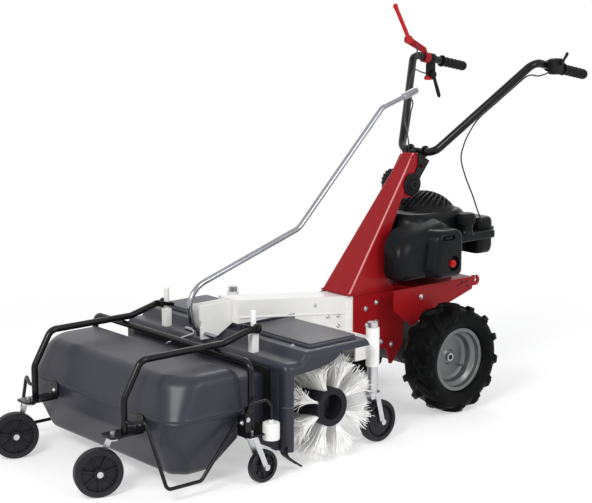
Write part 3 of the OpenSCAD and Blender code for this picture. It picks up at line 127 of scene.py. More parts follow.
class Finish:
    # one material: a principled shader and what feeds it
    def __init__(self, name, **constants):
        self.mat = bpy.data.materials.new(name)
        self.mat.use_nodes = True
        self.tree = self.mat.node_tree
        self.tree.nodes.clear()
        self.shader = self.tree.nodes.new("ShaderNodeBsdfPrincipled")
        self.out = self.tree.nodes.new("ShaderNodeOutputMaterial")
        self.tree.links.new(self.shader.outputs[0], self.out.inputs[0])
        for k, v in constants.items():
            self.shader.inputs[k.replace("_", " ")].default_value = v
        self.place = self.make("ShaderNodeTexCoord", out="Object")

    def make(self, kind, settings=None, sockets=None, out=0):
        n = self.tree.nodes.new(kind)
        for k, v in (settings or {}).items():
            setattr(n, k, v)
        for k, v in (sockets or {}).items():
            if isinstance(v, Val):
                self.tree.links.new(v.socket, n.inputs[k])
            else:
                n.inputs[k].default_value = v
        return Val(self.tree, n.outputs[out])

    def feed(self, **sockets):
        for k, v in sockets.items():
            self.tree.links.new(v.socket, self.shader.inputs[k.replace("_", " ")])
        return self.mat

    def noise(self, scale, detail):
        return self.make("ShaderNodeTexNoise", None, {"Vector": self.place, "Scale": scale, "Detail": detail,
                                                      "Roughness": 0.55})

    def attribute(self, name):
        return self.make("ShaderNodeAttribute", {"attribute_name": name}, out=2)

    def tint(self, factor, a, b):
        # mixes two tones, each a colour or what a node gives
        a, b = (v if isinstance(v, Val) else (*v, 1) for v in (a, b))
        return self.make("ShaderNodeMix", {"data_type": "RGBA"}, {0: factor, 6: a, 7: b}, out=2)


# wear settings, and the glint keys that break up the painted highlight on folded edges with noise
wearAndGlint = {"patchDetail": 4, "grainDetail": 2, "grainBump": 0.35, "patchRough": 0.12, "grainRough": 0.08,
        "dustScale": 35, "dustGain": 1.3, "glintScale": 60, "glintGain": 0.6, "glintLeast": 0.55}


def worn(name, dark, pale, rough, grain, grainDepth, shine=0.5, patch=9.0, dust=None, edge=None, **constants):
    # colour drifts between two tones in broad patches, fine grain in the bump, roughness follows both; an
    # edge colour, where given, is a painted highlight along folded edges
    f = Finish(name, Specular_IOR_Level=shine, **constants)
    broad, fine = f.noise(patch, wearAndGlint["patchDetail"]), f.noise(grain, wearAndGlint["grainDetail"])
    colour = f.tint(broad, dark, pale)
    if dust:
        # dust settles towards the ground: its share falls with height
        tone, top, share = dust
        height = f.make("ShaderNodeSeparateXYZ", None, {0: f.place}, out=2)
        speckle = f.noise(wearAndGlint["dustScale"], 4) * wearAndGlint["dustGain"]
        colour = f.tint(((top - height) / top).most(0.0) * speckle * share, colour, tone)
    if edge:
        # painted highlight: a paler line along folded edges where the mesh carries an edge value, standing in
        # for the light the rounded folds catch
        glintBreakup = f.noise(wearAndGlint["glintScale"], 3) * wearAndGlint["glintGain"] + wearAndGlint["glintLeast"]
        colour = f.tint(f.attribute("edge") * glintBreakup, colour, edge)
    bump = f.make("ShaderNodeBump", None, {"Height": fine, "Strength": wearAndGlint["grainBump"],
                                           "Distance": grainDepth})
    return f.feed(Base_Color=colour, Normal=bump,
                  Roughness=rough + (broad - 0.5) * wearAndGlint["patchRough"] + (fine - 0.5) * wearAndGlint["grainRough"])


# darkest and palest tone, roughness, grain scale and depth, shine; dust has a tone, a top height and a share;
# edge is the colour of a painted highlight
finishes = {
    # the red's edge colour is a painted highlight along the column's folds
    "red": worn("redEnamel", (0.27, 0.007, 0.010), (0.32, 0.010, 0.013), 0.3, 900, 0.0002, 0.12,
                dust=((0.12, 0.045, 0.04), 0.25, 0.3), edge=(0.8, 0.42, 0.42), Coat_Weight=0.06,
                Coat_Roughness=0.1),
    "redMoulding": worn("redMoulding", (0.42, 0.008, 0.010), (0.5, 0.012, 0.014), 0.34, 700, 0.0002, 0.2),
    "black": worn("blackEnamel", (0.003, 0.003, 0.0034), (0.006, 0.006, 0.007), 0.2, 800, 0.00004, 0.22,
                  Coat_Weight=0.05, Coat_Roughness=0.1),
    "blackMoulding": worn("blackMoulding", (0.005, 0.005, 0.006), (0.01, 0.01, 0.011), 0.46, 1200, 0.0004,
                          0.12),
    "engine": worn("engineMoulding", (0.003, 0.0036, 0.0042), (0.007, 0.0078, 0.0086), 0.3, 1500, 0.0003,
                   0.12, dust=((0.03, 0.03, 0.029), 0.6, 0.06)),
    "charcoal": worn("rotoMoulding", (0.016, 0.0164, 0.0265), (0.024, 0.0244, 0.037), 0.37, 1100, 0.0003,
                     0.36, dust=((0.05, 0.05, 0.055), 0.14, 0.2)),
    # a pale grey for the hood's seam bead: a painted highlight of the step between skirt and upper moulding
    "seam": worn("seamHighlight", (0.07, 0.071, 0.078), (0.09, 0.091, 0.1), 0.3, 1100, 0.0002, 0.4),
    "casting": worn("sandCasting", (0.03, 0.03, 0.032), (0.055, 0.055, 0.057), 0.6, 380, 0.0012,
                    Metallic=0.4),
    "ivory": worn("ivoryEnamel", (0.82, 0.812, 0.785), (0.88, 0.873, 0.85), 0.34, 900, 0.0002,
                  dust=((0.45, 0.42, 0.37), 0.3, 0.25), Coat_Weight=0.3),
    "zinc": worn("zincPlate", (0.46, 0.47, 0.49), (0.68, 0.69, 0.7), 0.34, 300, 0.0003, patch=40,
                 Metallic=1.0),
    "chrome": worn("chromePlate", (0.26, 0.27, 0.29), (0.38, 0.39, 0.42), 0.16, 500, 0.0001, Metallic=1.0),
    "steel": worn("turnedSteel", (0.34, 0.34, 0.35), (0.5, 0.5, 0.5), 0.34, 600, 0.0003, Metallic=1.0),
    "rim": worn("rimEnamel", (0.12, 0.125, 0.128), (0.17, 0.175, 0.18), 0.34, 700, 0.0003,
                dust=((0.2, 0.18, 0.15), 0.3, 0.2), Metallic=0.55),
    "tyre": worn("treadRubber", (0.0016, 0.0019, 0.0019), (0.004, 0.0043, 0.0042), 0.42, 420, 0.0006, 0.05,
                 dust=((0.014, 0.0138, 0.013), 0.12, 0.22)),
    "rubber": worn("softRubber", (0.006, 0.006, 0.0065), (0.011, 0.011, 0.012), 0.55, 700, 0.0005, 0.1),
    "wheel": worn("wheelRubber", (0.009, 0.009, 0.012), (0.014, 0.014, 0.019), 0.46, 600, 0.0004, 0.2,
                  dust=((0.06, 0.058, 0.056), 0.09, 0.3)),
    "core": worn("coreTube", (0.008, 0.008, 0.012), (0.014, 0.0145, 0.019), 0.42, 500, 0.0003, 0.14),
    "white": worn("whiteMoulding", (0.74, 0.74, 0.73), (0.8, 0.8, 0.79), 0.42, 800, 0.0003),
    "sheath": worn("cableSheath", (0.006, 0.006, 0.006), (0.012, 0.012, 0.012), 0.4, 900, 0.0002),
}


def bristleFinish():
    # every strand has its own tone; roots are greyer than tips
    f = Finish("bristleFibre")
    tone = f.attribute("tone")
    shade = tone * 0.5 + f.attribute("reach") * 0.5
    colour = f.tint(shade, (0.88, 0.873, 0.855), (0.98, 0.976, 0.965))
    return f.feed(Base_Color=colour, Roughness=0.55 + tone * 0.2)


finishes["bristle"] = bristleFinish()
print("stage: finishes", len(finishes))

finishOf = {
    "red": ["chassis_frame", "engine_deck", "column", "control_bracket"],
    "redMoulding": ["clutch_lever", "filter_knob"],
    "black": ["handle_bracket", "left_handle", "right_handle", "hopper_hoops", "rear_bow", "side_loops",
              "front_caster_plates", "rear_caster_brackets"],
    "blackMoulding": ["column_cap", "trigger_clamp", "trigger_lever", "throttle_body", "throttle_lever",
                      "lock_knob"],
    "engine": ["blower_housing", "recoil_grille", "fuel_tank", "filter_cover", "fuel_cap"],
    "charcoal": ["hood", "hopper_upper", "hopper_lower"],
    "casting": ["gearbox_case", "brush_gearbox", "engine_block"],
    "ivory": ["beam", "hook_posts", "stem_brackets"],
    "zinc": ["left_support_leg", "right_support_leg", "front_left_fork", "front_right_fork", "rear_left_fork",
             "rear_right_fork"],
    "chrome": ["lift_lever"],
    "steel": ["axle_shaft", "brush_shaft"],
    "rim": ["drive_rims"],
    "tyre": ["drive_tyres"],
    "rubber": ["grips", "dust_flaps"],
    "wheel": ["left_support_wheel", "right_support_wheel", "front_left_wheel", "front_right_wheel",
              "rear_left_wheel", "rear_right_wheel"],
    "core": ["brush_cores"],
    "bristle": ["bristles"],
    "sheath": ["throttle_cable", "clutch_cables"],
    "white": ["left_latch", "right_latch"],
}
for finish, names in finishOf.items():
    for n in names:
        nodes[n].data.materials.clear()
        nodes[n].data.materials.append(finishes[finish])


# outlines and paths

def cornerArcs(a, b, c, radius, steps):
    # an arc at each corner b between its neighbours a and c, centred on the line that halves the corner
    u, w = unit(a - b), unit(c - b)
    half = np.arccos(np.clip((u * w).sum(-1), -1, 1)) / 2
    mid, side = unit(u + w), unit(w - u)
    turn = np.linspace(-1, 1, steps)[:, None] * (math.pi / 2 - half)[..., None, None]
    centre = b + mid * (radius / np.sin(half))[..., None]
    spoke = side[..., None, :] * np.sin(turn) - mid[..., None, :] * np.cos(turn)
    return centre[..., None, :] + radius[..., None, None] * spoke


def roundPolygon(corners, radii, steps=8, along=5):
    # closed outlines [level, corner, 2] whose corners become arcs of radii [level, corner]
    b = np.asarray(corners, float)
    r = np.broadcast_to(np.asarray(radii, float), b.shape[:2])
    arcs = cornerArcs(np.roll(b, 1, 1), b, np.roll(b, -1, 1), r, steps)
    t = (np.arange(1, along + 1) / (along + 1))[None, None, :, None]
    edge = arcs[:, :, -1][:, :, None] * (1 - t) + np.roll(arcs[:, :, 0], -1, 1)[:, :, None] * t
    return np.concatenate([arcs, edge], 2).reshape(len(b), -1, 2)


def carry(outlines, places, axis):
    # outlines lie in the plane across the axis: yz for x, xz for y, xy for z
    along = np.broadcast_to(np.asarray(places, float)[:, None], outlines.shape[:2])
    first, second = outlines[..., 0], outlines[..., 1]
    order = {"x": (along, first, second), "y": (first, along, second), "z": (first, second, along)}[axis]
    return at(np.stack(order, -1))


def inset(outline, amount):
    # each side of an outline moves in by its own amount [level, side]; side k runs from corner k to k + 1
    amount = np.asarray(amount, float)
    b = np.broadcast_to(np.asarray(outline, float), (len(amount), *np.shape(outline)))
    amount = np.broadcast_to(amount, b.shape[:2])
    d = unit(np.roll(b, -1, 1) - b)
    n = np.stack([-d[..., 1], d[..., 0]], -1)
    n0, a0 = np.roll(n, 1, 1), np.roll(amount, 1, 1)
    det = n0[..., 0] * n[..., 1] - n0[..., 1] * n[..., 0]
    x = (a0 * n[..., 1] - amount * n0[..., 1]) / det
    y = (amount * n0[..., 0] - a0 * n[..., 0]) / det
    return b + np.stack([x, y], -1)


def rounded(outline, radii, steps, along):
    # one closed outline whose corners become arcs
    return roundPolygon([outline], radii, steps, along)[0]


def levels(*corners):
    # corners given as pairs that change from level to level, to outlines [level, corner, 2]
    return np.stack([np.stack(c, -1) for c in corners], 1)


def roundTurn(radius, steps=8):
    # how far a quarter round has gone along and in: distance left to the end, inset
    s = np.linspace(0, math.pi / 2, steps)
    return radius * (1 - np.sin(s)), radius * (1 - np.cos(s))


def rectangle(x0, y0, x1, y1):
    # its four corners, turning left
    return np.array([[x0, y0], [x1, y0], [x1, y1], [x0, y1]], float)


def bent(points, radius, steps=10):
    # a path whose inner corners become arcs, of one radius or one for each corner
    p = np.asarray(points, float)
    radii = np.broadcast_to(np.asarray(radius, float), (len(p) - 2,))
    arcs = cornerArcs(p[:-2], p[1:-1], p[2:], radii, steps)
    return np.concatenate([p[:1], arcs.reshape(-1, 3), p[-1:]])


def smoothLine(points, count):
    # a Catmull-Rom line through the points, evenly counted
    p = np.asarray(points, float)
    q = np.concatenate([[2 * p[0] - p[1]], p, [2 * p[-1] - p[-2]]])
    t = np.linspace(0, len(p) - 1 - 1e-9, count)
    i = t.astype(int)
    f = (t - i)[:, None]
    a, b, c, d = q[i], q[i + 1], q[i + 2], q[i + 3]
    square, cube = 2 * a - 5 * b + 4 * c - d, 3 * b - a - 3 * c + d
    return 0.5 * (2 * b + (c - a) * f + square * f ** 2 + cube * f ** 3)


def normalsAlong(path):
    # two normals carried along a path without twist
    t = unit(np.gradient(path, axis=0))
    normals = [unit(np.cross(t[0], [0, 0, 1] if abs(t[0][2]) < 0.9 else [0, 1, 0]))]
    for d in t[1:]:
        normals.append(unit(normals[-1] - d * (normals[-1] @ d)))
    n = np.array(normals)
    return n, np.cross(t, n)


def roundEnds(path, radius, steps=5):
    # path and radii that close both ends of a tube with a small round edge
    edge = min(radius * 0.35, 3.0)
    s = np.linspace(0, math.pi / 2, steps)
    short = ((1 - np.sin(s)) * edge)[:, None]
    head = path[0] - unit(path[0] - path[1]) * short[::-1]
    tail = path[-1] - unit(path[-1] - path[-2]) * short
    r = radius - edge + edge * np.cos(s)
    radii = np.concatenate([r[::-1], np.full(len(path) - 2, radius), r])
    return np.concatenate([head, path[1:-1], tail]), radii


def ramp(value, start, run):
    # 0 up to the start, then rising to 1 over the run; a negative run rises the other way
    return np.clip((value - start) / run, 0, 1)


def circle(around):
    # even angles round one turn, as a row
    return np.linspace(0, fullTurn, around, endpoint=False)[None]


def ribbed(lo, hi, depth, count):
    # a ripple round a turned form, between two heights
    return lambda p, a: np.where((p[:, 1:] > lo) & (p[:, 1:] < hi), depth, 0.0) * np.cos(count * a)


# mesh tools

class Shell:
    # collects grids of points and faces into one mesh; sizes are in layout millimetres
    def __init__(self):
        self.points, self.faces, self.count = [], [], 0

    def add(self, points, faces):
        points = np.asarray(points, float).reshape(-1, 3)
        self.points.append(points)
        self.faces += [[k + self.count for k in f] for f in faces]
        self.count += len(points)
        return self

    def grid(self, points, closeRows=False, caps=False):
        # rings of points in metres joined by quads; faces turn outward, as the signed volume is made positive
        rows, cols = points.shape[:2]
        i = np.arange(rows if closeRows else rows - 1)[:, None]
        j = np.arange(cols)[None]
        i2, j2 = (i + 1) % rows, (j + 1) % cols
        corners = np.broadcast_arrays(i * cols + j, i * cols + j2, i2 * cols + j2, i2 * cols + j)
        quads = np.stack(corners, -1).reshape(-1, 4)
        p = points.reshape(-1, 3) - points.reshape(-1, 3).mean(0)
        a, b, c, d = (p[quads[:, k]] for k in range(4))
        volume = (a * np.cross(b, c)).sum() + (a * np.cross(c, d)).sum()
        faces = quads.tolist()
        if caps:
            faces += [list(range(cols))[::-1], [(rows - 1) * cols + k for k in range(cols)]]
            for ring in (p[:cols][::-1], p[-cols:]):
                volume += (ring[0] * np.cross(ring[1:-1], ring[2:])).sum()
        if volume < 0:
            faces = [f[::-1] for f in faces]
        return self.add(points, faces)

    def loft(self, corners, radii, places, axis, steps=8, along=5):
        # rounded outlines carried along an axis and closed at both ends
        return self.grid(carry(roundPolygon(corners, radii, steps, along), places, axis), caps=True)

    def prism(self, outline, lo, hi):
        # one outline in the yz plane, carried from one x to another
        p = np.asarray(outline, float)
        return self.grid(carry(np.stack([p, p]), [lo, hi], "x"), caps=True)

    def block(self, lo, hi, corner, edge, axis="z", foot=0.0):
        # a block with rounded corners along the axis and rounded rims at its ends
        k = "xyz".index(axis)
        i, j = [m for m in range(3) if m != k]
        left, depth = roundTurn(edge, 6)
        leftFoot, depthFoot = roundTurn(foot, 4) if foot else (np.zeros(1), np.zeros(1))
        e = np.concatenate([depthFoot[::-1], depth])[:, None]
        places = np.concatenate([lo[k] + leftFoot[::-1], hi[k] - left])
        outlines = inset(rectangle(lo[i], lo[j], hi[i], hi[j]), e)
        return self.loft(outlines, np.maximum(corner - e, corner * 0.25), places, axis, 7, 3)

    def turned(self, centre, direction, profile, around, ripple=None):
        # radius and height pairs turned about a direction, ribbed where a ripple is given
        d = unit(np.asarray(direction, float))
        n = unit(np.cross(d, [0, 0, 1.0] if abs(d[2]) < 0.9 else [0, 1.0, 0]))
        p, a = np.asarray(profile, float), circle(around)
        r = p[:, :1] + (ripple(p, a) if ripple else 0 * a)
        across = np.cos(a)[..., None] * n + np.sin(a)[..., None] * np.cross(d, n)
        rings = np.asarray(centre, float) + r[..., None] * across + p[:, 1:, None] * d
        return self.grid(at(rings), caps=True)

    def tube(self, path, radius, around=28):
        # a circle carried along a path
        p, r = roundEnds(np.asarray(path, float), radius)
        n, m = normalsAlong(p)
        a = circle(around)[..., None]
        across = np.cos(a) * n[:, None] + np.sin(a) * m[:, None]
        return self.grid(at(p[:, None] + r[:, None, None] * across), caps=True)

    def rod(self, a, b, radius, around):
        # a straight tube between two points
        return self.tube(np.linspace(np.asarray(a, float), b, 4), radius, around)

    def blade(self, start, run, wide, deep):
        # an oval section carried along a run in the yz plane; wide lies in that plane, deep across it
        t, a = np.linspace(0, 1, len(wide))[:, None, None], circle(28)[..., None]
        side = unit(np.array([0.0, run[2], -run[1]]))
        oval = deep[:, None, None] * np.cos(a) * [1, 0, 0] + wide[:, None, None] * np.sin(a) * side
        return self.grid(at(start + t * run + oval), caps=True)

    def bolt(self, centre, direction, size):
        # a washer, a hexagon head and the end of the thread
        washer = [[2.0, -0.5 / size], [2.0, 0.24], [1.8, 0.36]]
        hexagon = [[1.15, 0.2], [1.15, 1.0], [0.95, 1.2]]
        thread = [[0.55, 1.0], [0.55, 1.55], [0.4, 1.7]]
        for profile, around in ((washer, 20), (hexagon, 6), (thread, 12)):
            self.turned(centre, direction, np.array(profile) * size, around)

    def piece(self, name, body, finish, slot, stands=(), smooth=True, angle=35, bevel=None, attributes=None):
        mesh = bpy.data.meshes.new(name)
        mesh.from_pydata(np.concatenate(self.points).tolist(), [], self.faces)
        mesh.validate()
        obj = link(name, mesh)
        mesh.materials.append(finishes[finish])
        for key, values in (attributes or {}).items():
            store = mesh.attributes.new(key, "FLOAT", "POINT").data
            store.foreach_set("value", np.asarray(values, np.float32))
        if smooth:
            shadeSmooth(mesh, angle)
        if bevel:
            m = obj.modifiers.new("edges", "BEVEL")
            m.width, m.segments, m.limit_method, m.angle_limit = bevel, 3, "ANGLE", math.radians(40)
        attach(obj, body)
        if stands:
            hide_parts(*stands)
        return obj


def shadeSmooth(mesh, angle):
    mesh.polygons.foreach_set("use_smooth", np.ones(len(mesh.polygons), bool))
    mesh.set_sharp_from_angle(angle=math.radians(angle))


def carve(obj, *cutters):
    # takes the cutters' closed forms out of a piece
    for s in cutters:
        mesh = bpy.data.meshes.new("cutter")
        mesh.from_pydata(np.concatenate(s.points).tolist(), [], s.faces)
        tool = link("cutter", mesh)
        m = obj.modifiers.new("cut", "BOOLEAN")
        m.operation, m.solver, m.object = "DIFFERENCE", "EXACT", tool
        bpy.context.view_layer.update()
        made = bpy.data.meshes.new_from_object(obj.evaluated_get(bpy.context.evaluated_depsgraph_get()))
        obj.modifiers.clear()
        old, obj.data = obj.data, made
        made.name = old.name
        bpy.data.meshes.remove(old)
        bpy.data.objects.remove(tool)
        bpy.data.meshes.remove(mesh)
    shadeSmooth(obj.data, 32)


# camera, light and floor

view = {"eye": [3708.8, -3628.2, 1482.2], "azimuth": 49.5, "elevation": 10.7, "focalPixels": 1534.3,
        "widthPixels": 592, "sensor": 36.0, "clipEnd": 60}
az, el = math.radians(view["azimuth"]), math.radians(view["elevation"])
back = np.array([math.sin(az) * math.cos(el), -math.cos(az) * math.cos(el), math.sin(el)])
right = np.array([math.cos(az), math.sin(az), 0])
cameraData = bpy.data.cameras.new("photoCamera")
cameraData.sensor_width, cameraData.clip_end = view["sensor"], view["clipEnd"]
cameraData.lens = view["focalPixels"] * view["sensor"] / view["widthPixels"]
camera = link("photoCamera", cameraData)
pose(camera, right, np.cross(back, right), back, at(view["eye"]))
bpy.context.scene.camera = camera

lamps = {  # place in metres, size, watts, colour; all face one point
    "key": ((1.6, -3.1, 2.5), 1.1, 82, (1, 0.99, 0.97)),
    "fill": ((3.4, 0.6, 2.2), 1.2, 34, (0.97, 0.98, 1)),
    "rear": ((-2.2, 2.6, 3.0), 1.6, 28, (1, 1, 1)),
}
lampAim = [0, 0, 0.4]
for name, (spot, size, watts, colour) in lamps.items():
    data = bpy.data.lights.new(name, "AREA")
    data.size, data.energy, data.color = size, watts, colour
    z = unit(np.subtract(spot, lampAim))
    x = unit(np.cross([0, 0, 1], z))
    pose(link(name, data), x, np.cross(z, x), z, spot)

# world: soft light on the part, plain white where it is seen straight, through or in a reflection

world = bpy.data.worlds.new("studio")
bpy.context.scene.world = world
world.use_nodes = True
wt = world.node_tree
wt.nodes.clear()
soft, plain = wt.nodes.new("ShaderNodeBackground"), wt.nodes.new("ShaderNodeBackground")
for node, colour, strength in ((soft, (0.98, 0.99, 1, 1), 0.58), (plain, (1, 1, 1, 1), 1.0)):
    node.inputs[0].default_value, node.inputs[1].default_value = colour, strength
rays = wt.nodes.new("ShaderNodeLightPath").outputs
rayKinds = ("Camera", "Transmission", "Glossy")
straight, through, mirrored = (Val(wt, rays[f"Is {kind} Ray"]) for kind in rayKinds)
mix, wOut = wt.nodes.new("ShaderNodeMixShader"), wt.nodes.new("ShaderNodeOutputWorld")
seen = straight.most(through).most(mirrored)
wire(wt, (seen.socket, mix.inputs[0]), (soft.outputs[0], mix.inputs[1]), (plain.outputs[0], mix.inputs[2]),
     (mix.outputs[0], wOut.inputs[0]))

# floor: pale near the part, fading into the white background

ground = {"half": 14, "tone": 0.62, "glow": 0.45, "fadeFrom": 1.3, "fadeOver": 1.1}
floorFinish = Finish("paleFloor", Roughness=0.9, Specular_IOR_Level=0.1,
                     Base_Color=(*[ground["tone"]] * 3, 1), Emission_Color=(1, 1, 1, 1),
                     Emission_Strength=ground["glow"])
ft = floorFinish.tree
glow, blend = ft.nodes.new("ShaderNodeEmission"), ft.nodes.new("ShaderNodeMixShader")
away = floorFinish.make("ShaderNodeVectorMath", {"operation": "LENGTH"}, {0: floorFinish.place}, out=1)
fade = ((away - ground["fadeFrom"]) / ground["fadeOver"]).most(0.0).least(1.0)
wire(ft, (fade.socket, blend.inputs[0]), (floorFinish.shader.outputs[0], blend.inputs[1]),
     (glow.outputs[0], blend.inputs[2]), (blend.outputs[0], floorFinish.out.inputs[0]))
floorMesh = bpy.data.meshes.new("floor")
g = ground["half"]
floorMesh.from_pydata([(*p, 0) for p in rectangle(-g, -g, g, g).tolist()], [], [(0, 1, 2, 3)])
floorMesh.materials.append(floorFinish.mat)
link("floor", floorMesh)
bpy.context.scene.view_settings.view_transform = "Standard"
print("stage: camera and light")

# cables: a smooth line through given points, swept with a round sheath

sheath = {"r": 2.5, "count": 90, "around": 12}
cables = {
    "throttleCable": {"node": "throttle_cable", "points": [
        [310, 398, 1116], [307, 382, 1110], [296, 358, 1104], [270, 336, 1104], [238, 297, 1062],
        [206, 257, 1016], [168, 210, 961], [150, 185, 915], [138, 170, 870], [131, 166, 822], [130, 192, 756],
        [127, 230, 693], [120, 262, 640], [112, 288, 607]]},
    "clutchCable": {"node": "clutch_cables", "points": [
        [-287, 422, 1082], [-285, 406, 1080], [-276, 376, 1086], [-258, 322, 1092], [-206, 257, 1016],
        [-167, 228, 987], [-136, 188, 962], [-98, 140, 915], [-62, 100, 902], [-38, 66, 888],
        [-30.5, 48, 864], [-30.5, 47, 837]]},
    "brushCable": {"node": "clutch_cables", "points": [
        [-278, 350, 1186], [-264, 342, 1178], [-246, 322, 1150], [-232, 296, 1110], [-205, 250, 1060],
        [-160, 190, 1000], [-110, 132, 946], [-64, 94, 918], [-38, 76, 896], [-28, 72, 868], [-27, 72, 837]]},
}
for name, c in cables.items():
    route = smoothLine(c["points"], sheath["count"])
    obj = Shell().tube(route, sheath["r"], sheath["around"]).piece(
        name, "tractor", "sheath", "cable_sheath", [c["node"]])
    line = at(route)
print("stage: cables")

# tubes: the CAD routes with round bends; the grip's run is also what the grips and the lever housings sit on

tubes = {"handleR": 14, "handleBend": 48, "frameR": 10, "hoopR": 10.25, "frameBend": 34, "loopR": 5.5,
         "loopBend": 16}
gripTop, gripEnd = np.array([288.0, 348, 1150]), np.array([286.0, 616, 1096])
gripRun = unit(gripEnd - gripTop)
handle = np.array([[38, 88, 846], [78, 88, 846], gripTop, gripEnd - 4 * gripRun])
bow = [[402, -973, 156], [402, -973, 358.7], [-402, -973, 358.7], [-402, -973, 156]]
loop = np.array([[249.3, -1301, 214], [271.3, -1301, 214], [318, -1284, 226], [396, -1268, 44],
                 [396, -1150, 44], [396, -1018.5, 192]])
hoop = np.array([[239, -1301, 178], [239, -1301, 275], [239, -1240, 379], [239, -945, 379], [239, -846, 404]])
for side, name in namedSides:
    Shell().tube(bent(handle * [side, 1, 1], tubes["handleBend"], 14), tubes["handleR"]).piece(
        name + "Tube", "tractor", "black", "black_paint", [name + "_handle"])
Shell().tube(bent(bow, tubes["frameBend"], 14), tubes["frameR"]).piece(
    "bowTube", "hopper", "black", "black_paint", ["rear_bow"])
loops, hoops = Shell(), Shell()
for side in bothSides:
    loops.tube(bent(loop * [side, 1, 1], tubes["loopBend"], 12), tubes["loopR"], 20)
    hoops.tube(bent(hoop * [side, 1, 1], tubes["frameBend"], 14), tubes["hoopR"])
loops.piece("loopTubes", "hopper", "black", "black_paint", ["side_loops"])
hoops.piece("hoopTubes", "hopper", "black", "black_paint")
print("stage: tubes")

# bristles: tufts of tapered three-sided strands on the cores, bent back a little at the tips; sizes in metres

brush = {"rows": 8, "tufts": 36, "strands": 25, "rootR": 0.058, "tipR": 0.1655, "shorter": 0.07,
         "inner": 0.042, "outer": 0.403, "nearest": 0.036, "farthest": 0.453, "hoodEnd": 0.402,
         "hoodEase": 0.006, "archR": 0.142, "thick": 0.0012, "taper": 0.45, "rowDrift": 0.03,
         "rootDrift": 0.0022, "slideDrift": 0.006, "spread": 0.135, "sweep": 0.10, "sweepMean": 0.4,
         "sweepDrift": 0.55, "twist": 0.9, "turn": 0.42, "flare": 0.042, "flareTufts": 8, "behind": 0.663,
         "height": 0.168}


def bristleHalf(side, name):
    # root on the core's circle; the angle grows with the square of the share along the strand
    b = brush
    n = b["rows"] * b["tufts"] * b["strands"]
    row, tuft, _ = np.unravel_index(np.arange(n), (b["rows"], b["tufts"], b["strands"]))
    lean = b["twist"] * (tuft / b["tufts"] - 1)      # the rows wind round the core
    angle = row * fullTurn / b["rows"] + b["turn"] + lean + rng.normal(0, b["rowDrift"], n)
    x0 = b["inner"] + (tuft + 0.5) / b["tufts"] * (b["outer"] - b["inner"]) + rng.normal(0, b["rootDrift"], n)
    fan = rng.normal(0, b["spread"], n)
    outmost = ramp(tuft, b["tufts"] - b["flareTufts"], b["flareTufts"])
    slide = rng.normal(0, b["slideDrift"], n) + b["flare"] * outmost ** 2 * (0.6 + 0.5 * rng.random(n))
    bend = b["sweep"] * rng.normal(b["sweepMean"], b["sweepDrift"], n)
    tip = b["tipR"] * (1 - b["shorter"] * rng.random(n) ** 2)
    t = np.linspace(0, 1, 4)[:, None]
    a = angle + fan * t + bend * t ** 2
    x = np.clip(x0 + slide * t ** 1.5, b["nearest"], b["farthest"])
    past = ramp(x, b["hoodEnd"], b["hoodEase"])      # what stands out of the hood's end turns inside its arch
    r = np.minimum(b["rootR"] + (tip - b["rootR"]) * t, b["tipR"] - (b["tipR"] - b["archR"]) * past)
    thick = (b["thick"] * (1 - b["taper"] * t))[..., None]
    k, r = np.arange(3) * fullTurn / 3, r[..., None]
    aa, xx = a[..., None] + thick / r * np.cos(k), x[..., None] + thick * np.sin(k)
    p = np.stack([side * xx, r * np.sin(aa), r * np.cos(aa)], -1)      # ring, strand, side
    p = p.transpose(1, 0, 2, 3) + np.array([0, axleY - b["behind"], b["height"]])
    i, k = np.indices((3, 3)).reshape(2, -1, 1)
    after = (k + 1) % 3
    quads = np.concatenate([3 * i + k, 3 * i + after, 3 * i + 3 + after, 3 * i + 3 + k], 1)
    faces = []
    for part in (quads, np.array([[9, 10, 11]]), np.array([[2, 1, 0]])):      # flanks, tips, roots
        faces += (12 * np.arange(n)[:, None, None] + part).reshape(-1, part.shape[1]).tolist()
    if side > 0:
        faces = [f[::-1] for f in faces]
    tone = np.repeat(rng.random(n), 12)
    reach = np.tile(np.repeat(np.linspace(0, 1, 4), 3), n)
    Shell().add(p, faces).piece(name, "brush", "bristle", "bristle_fibre", ["bristles"], smooth=False,
                                attributes={"tone": tone, "reach": reach})


for side, name in namedSides:
    bristleHalf(side, name + "Bristles")
print("stage: bristles")

# tyres: a cross-section carried round the axle, raised along its normal where a lug lies

tyre = {"track": 255, "around": 546, "lugs": 13, "lugH": 13.2, "lugEdge": 15.5, "lugEase": -4.2, "sweep": 46,
        "meanR": 172.0, "half": 60, "gap": 1.5, "gapEase": 5, "shoulderR": 143, "shoulderEase": 14,
        "treadR": 163, "outR": 181.0, "flat": 30, "crown": 0.004, "sideShare": 0.62, "mostR": 180.9,
        "section": [[0, 168], [24, 167.6], [44, 165.5], [54.5, 159], [59.6, 148], [60.6, 135], [57, 121],
                    [48, 111.5], [40, 108], [37.9, 103], [37.9, 98.2]]}


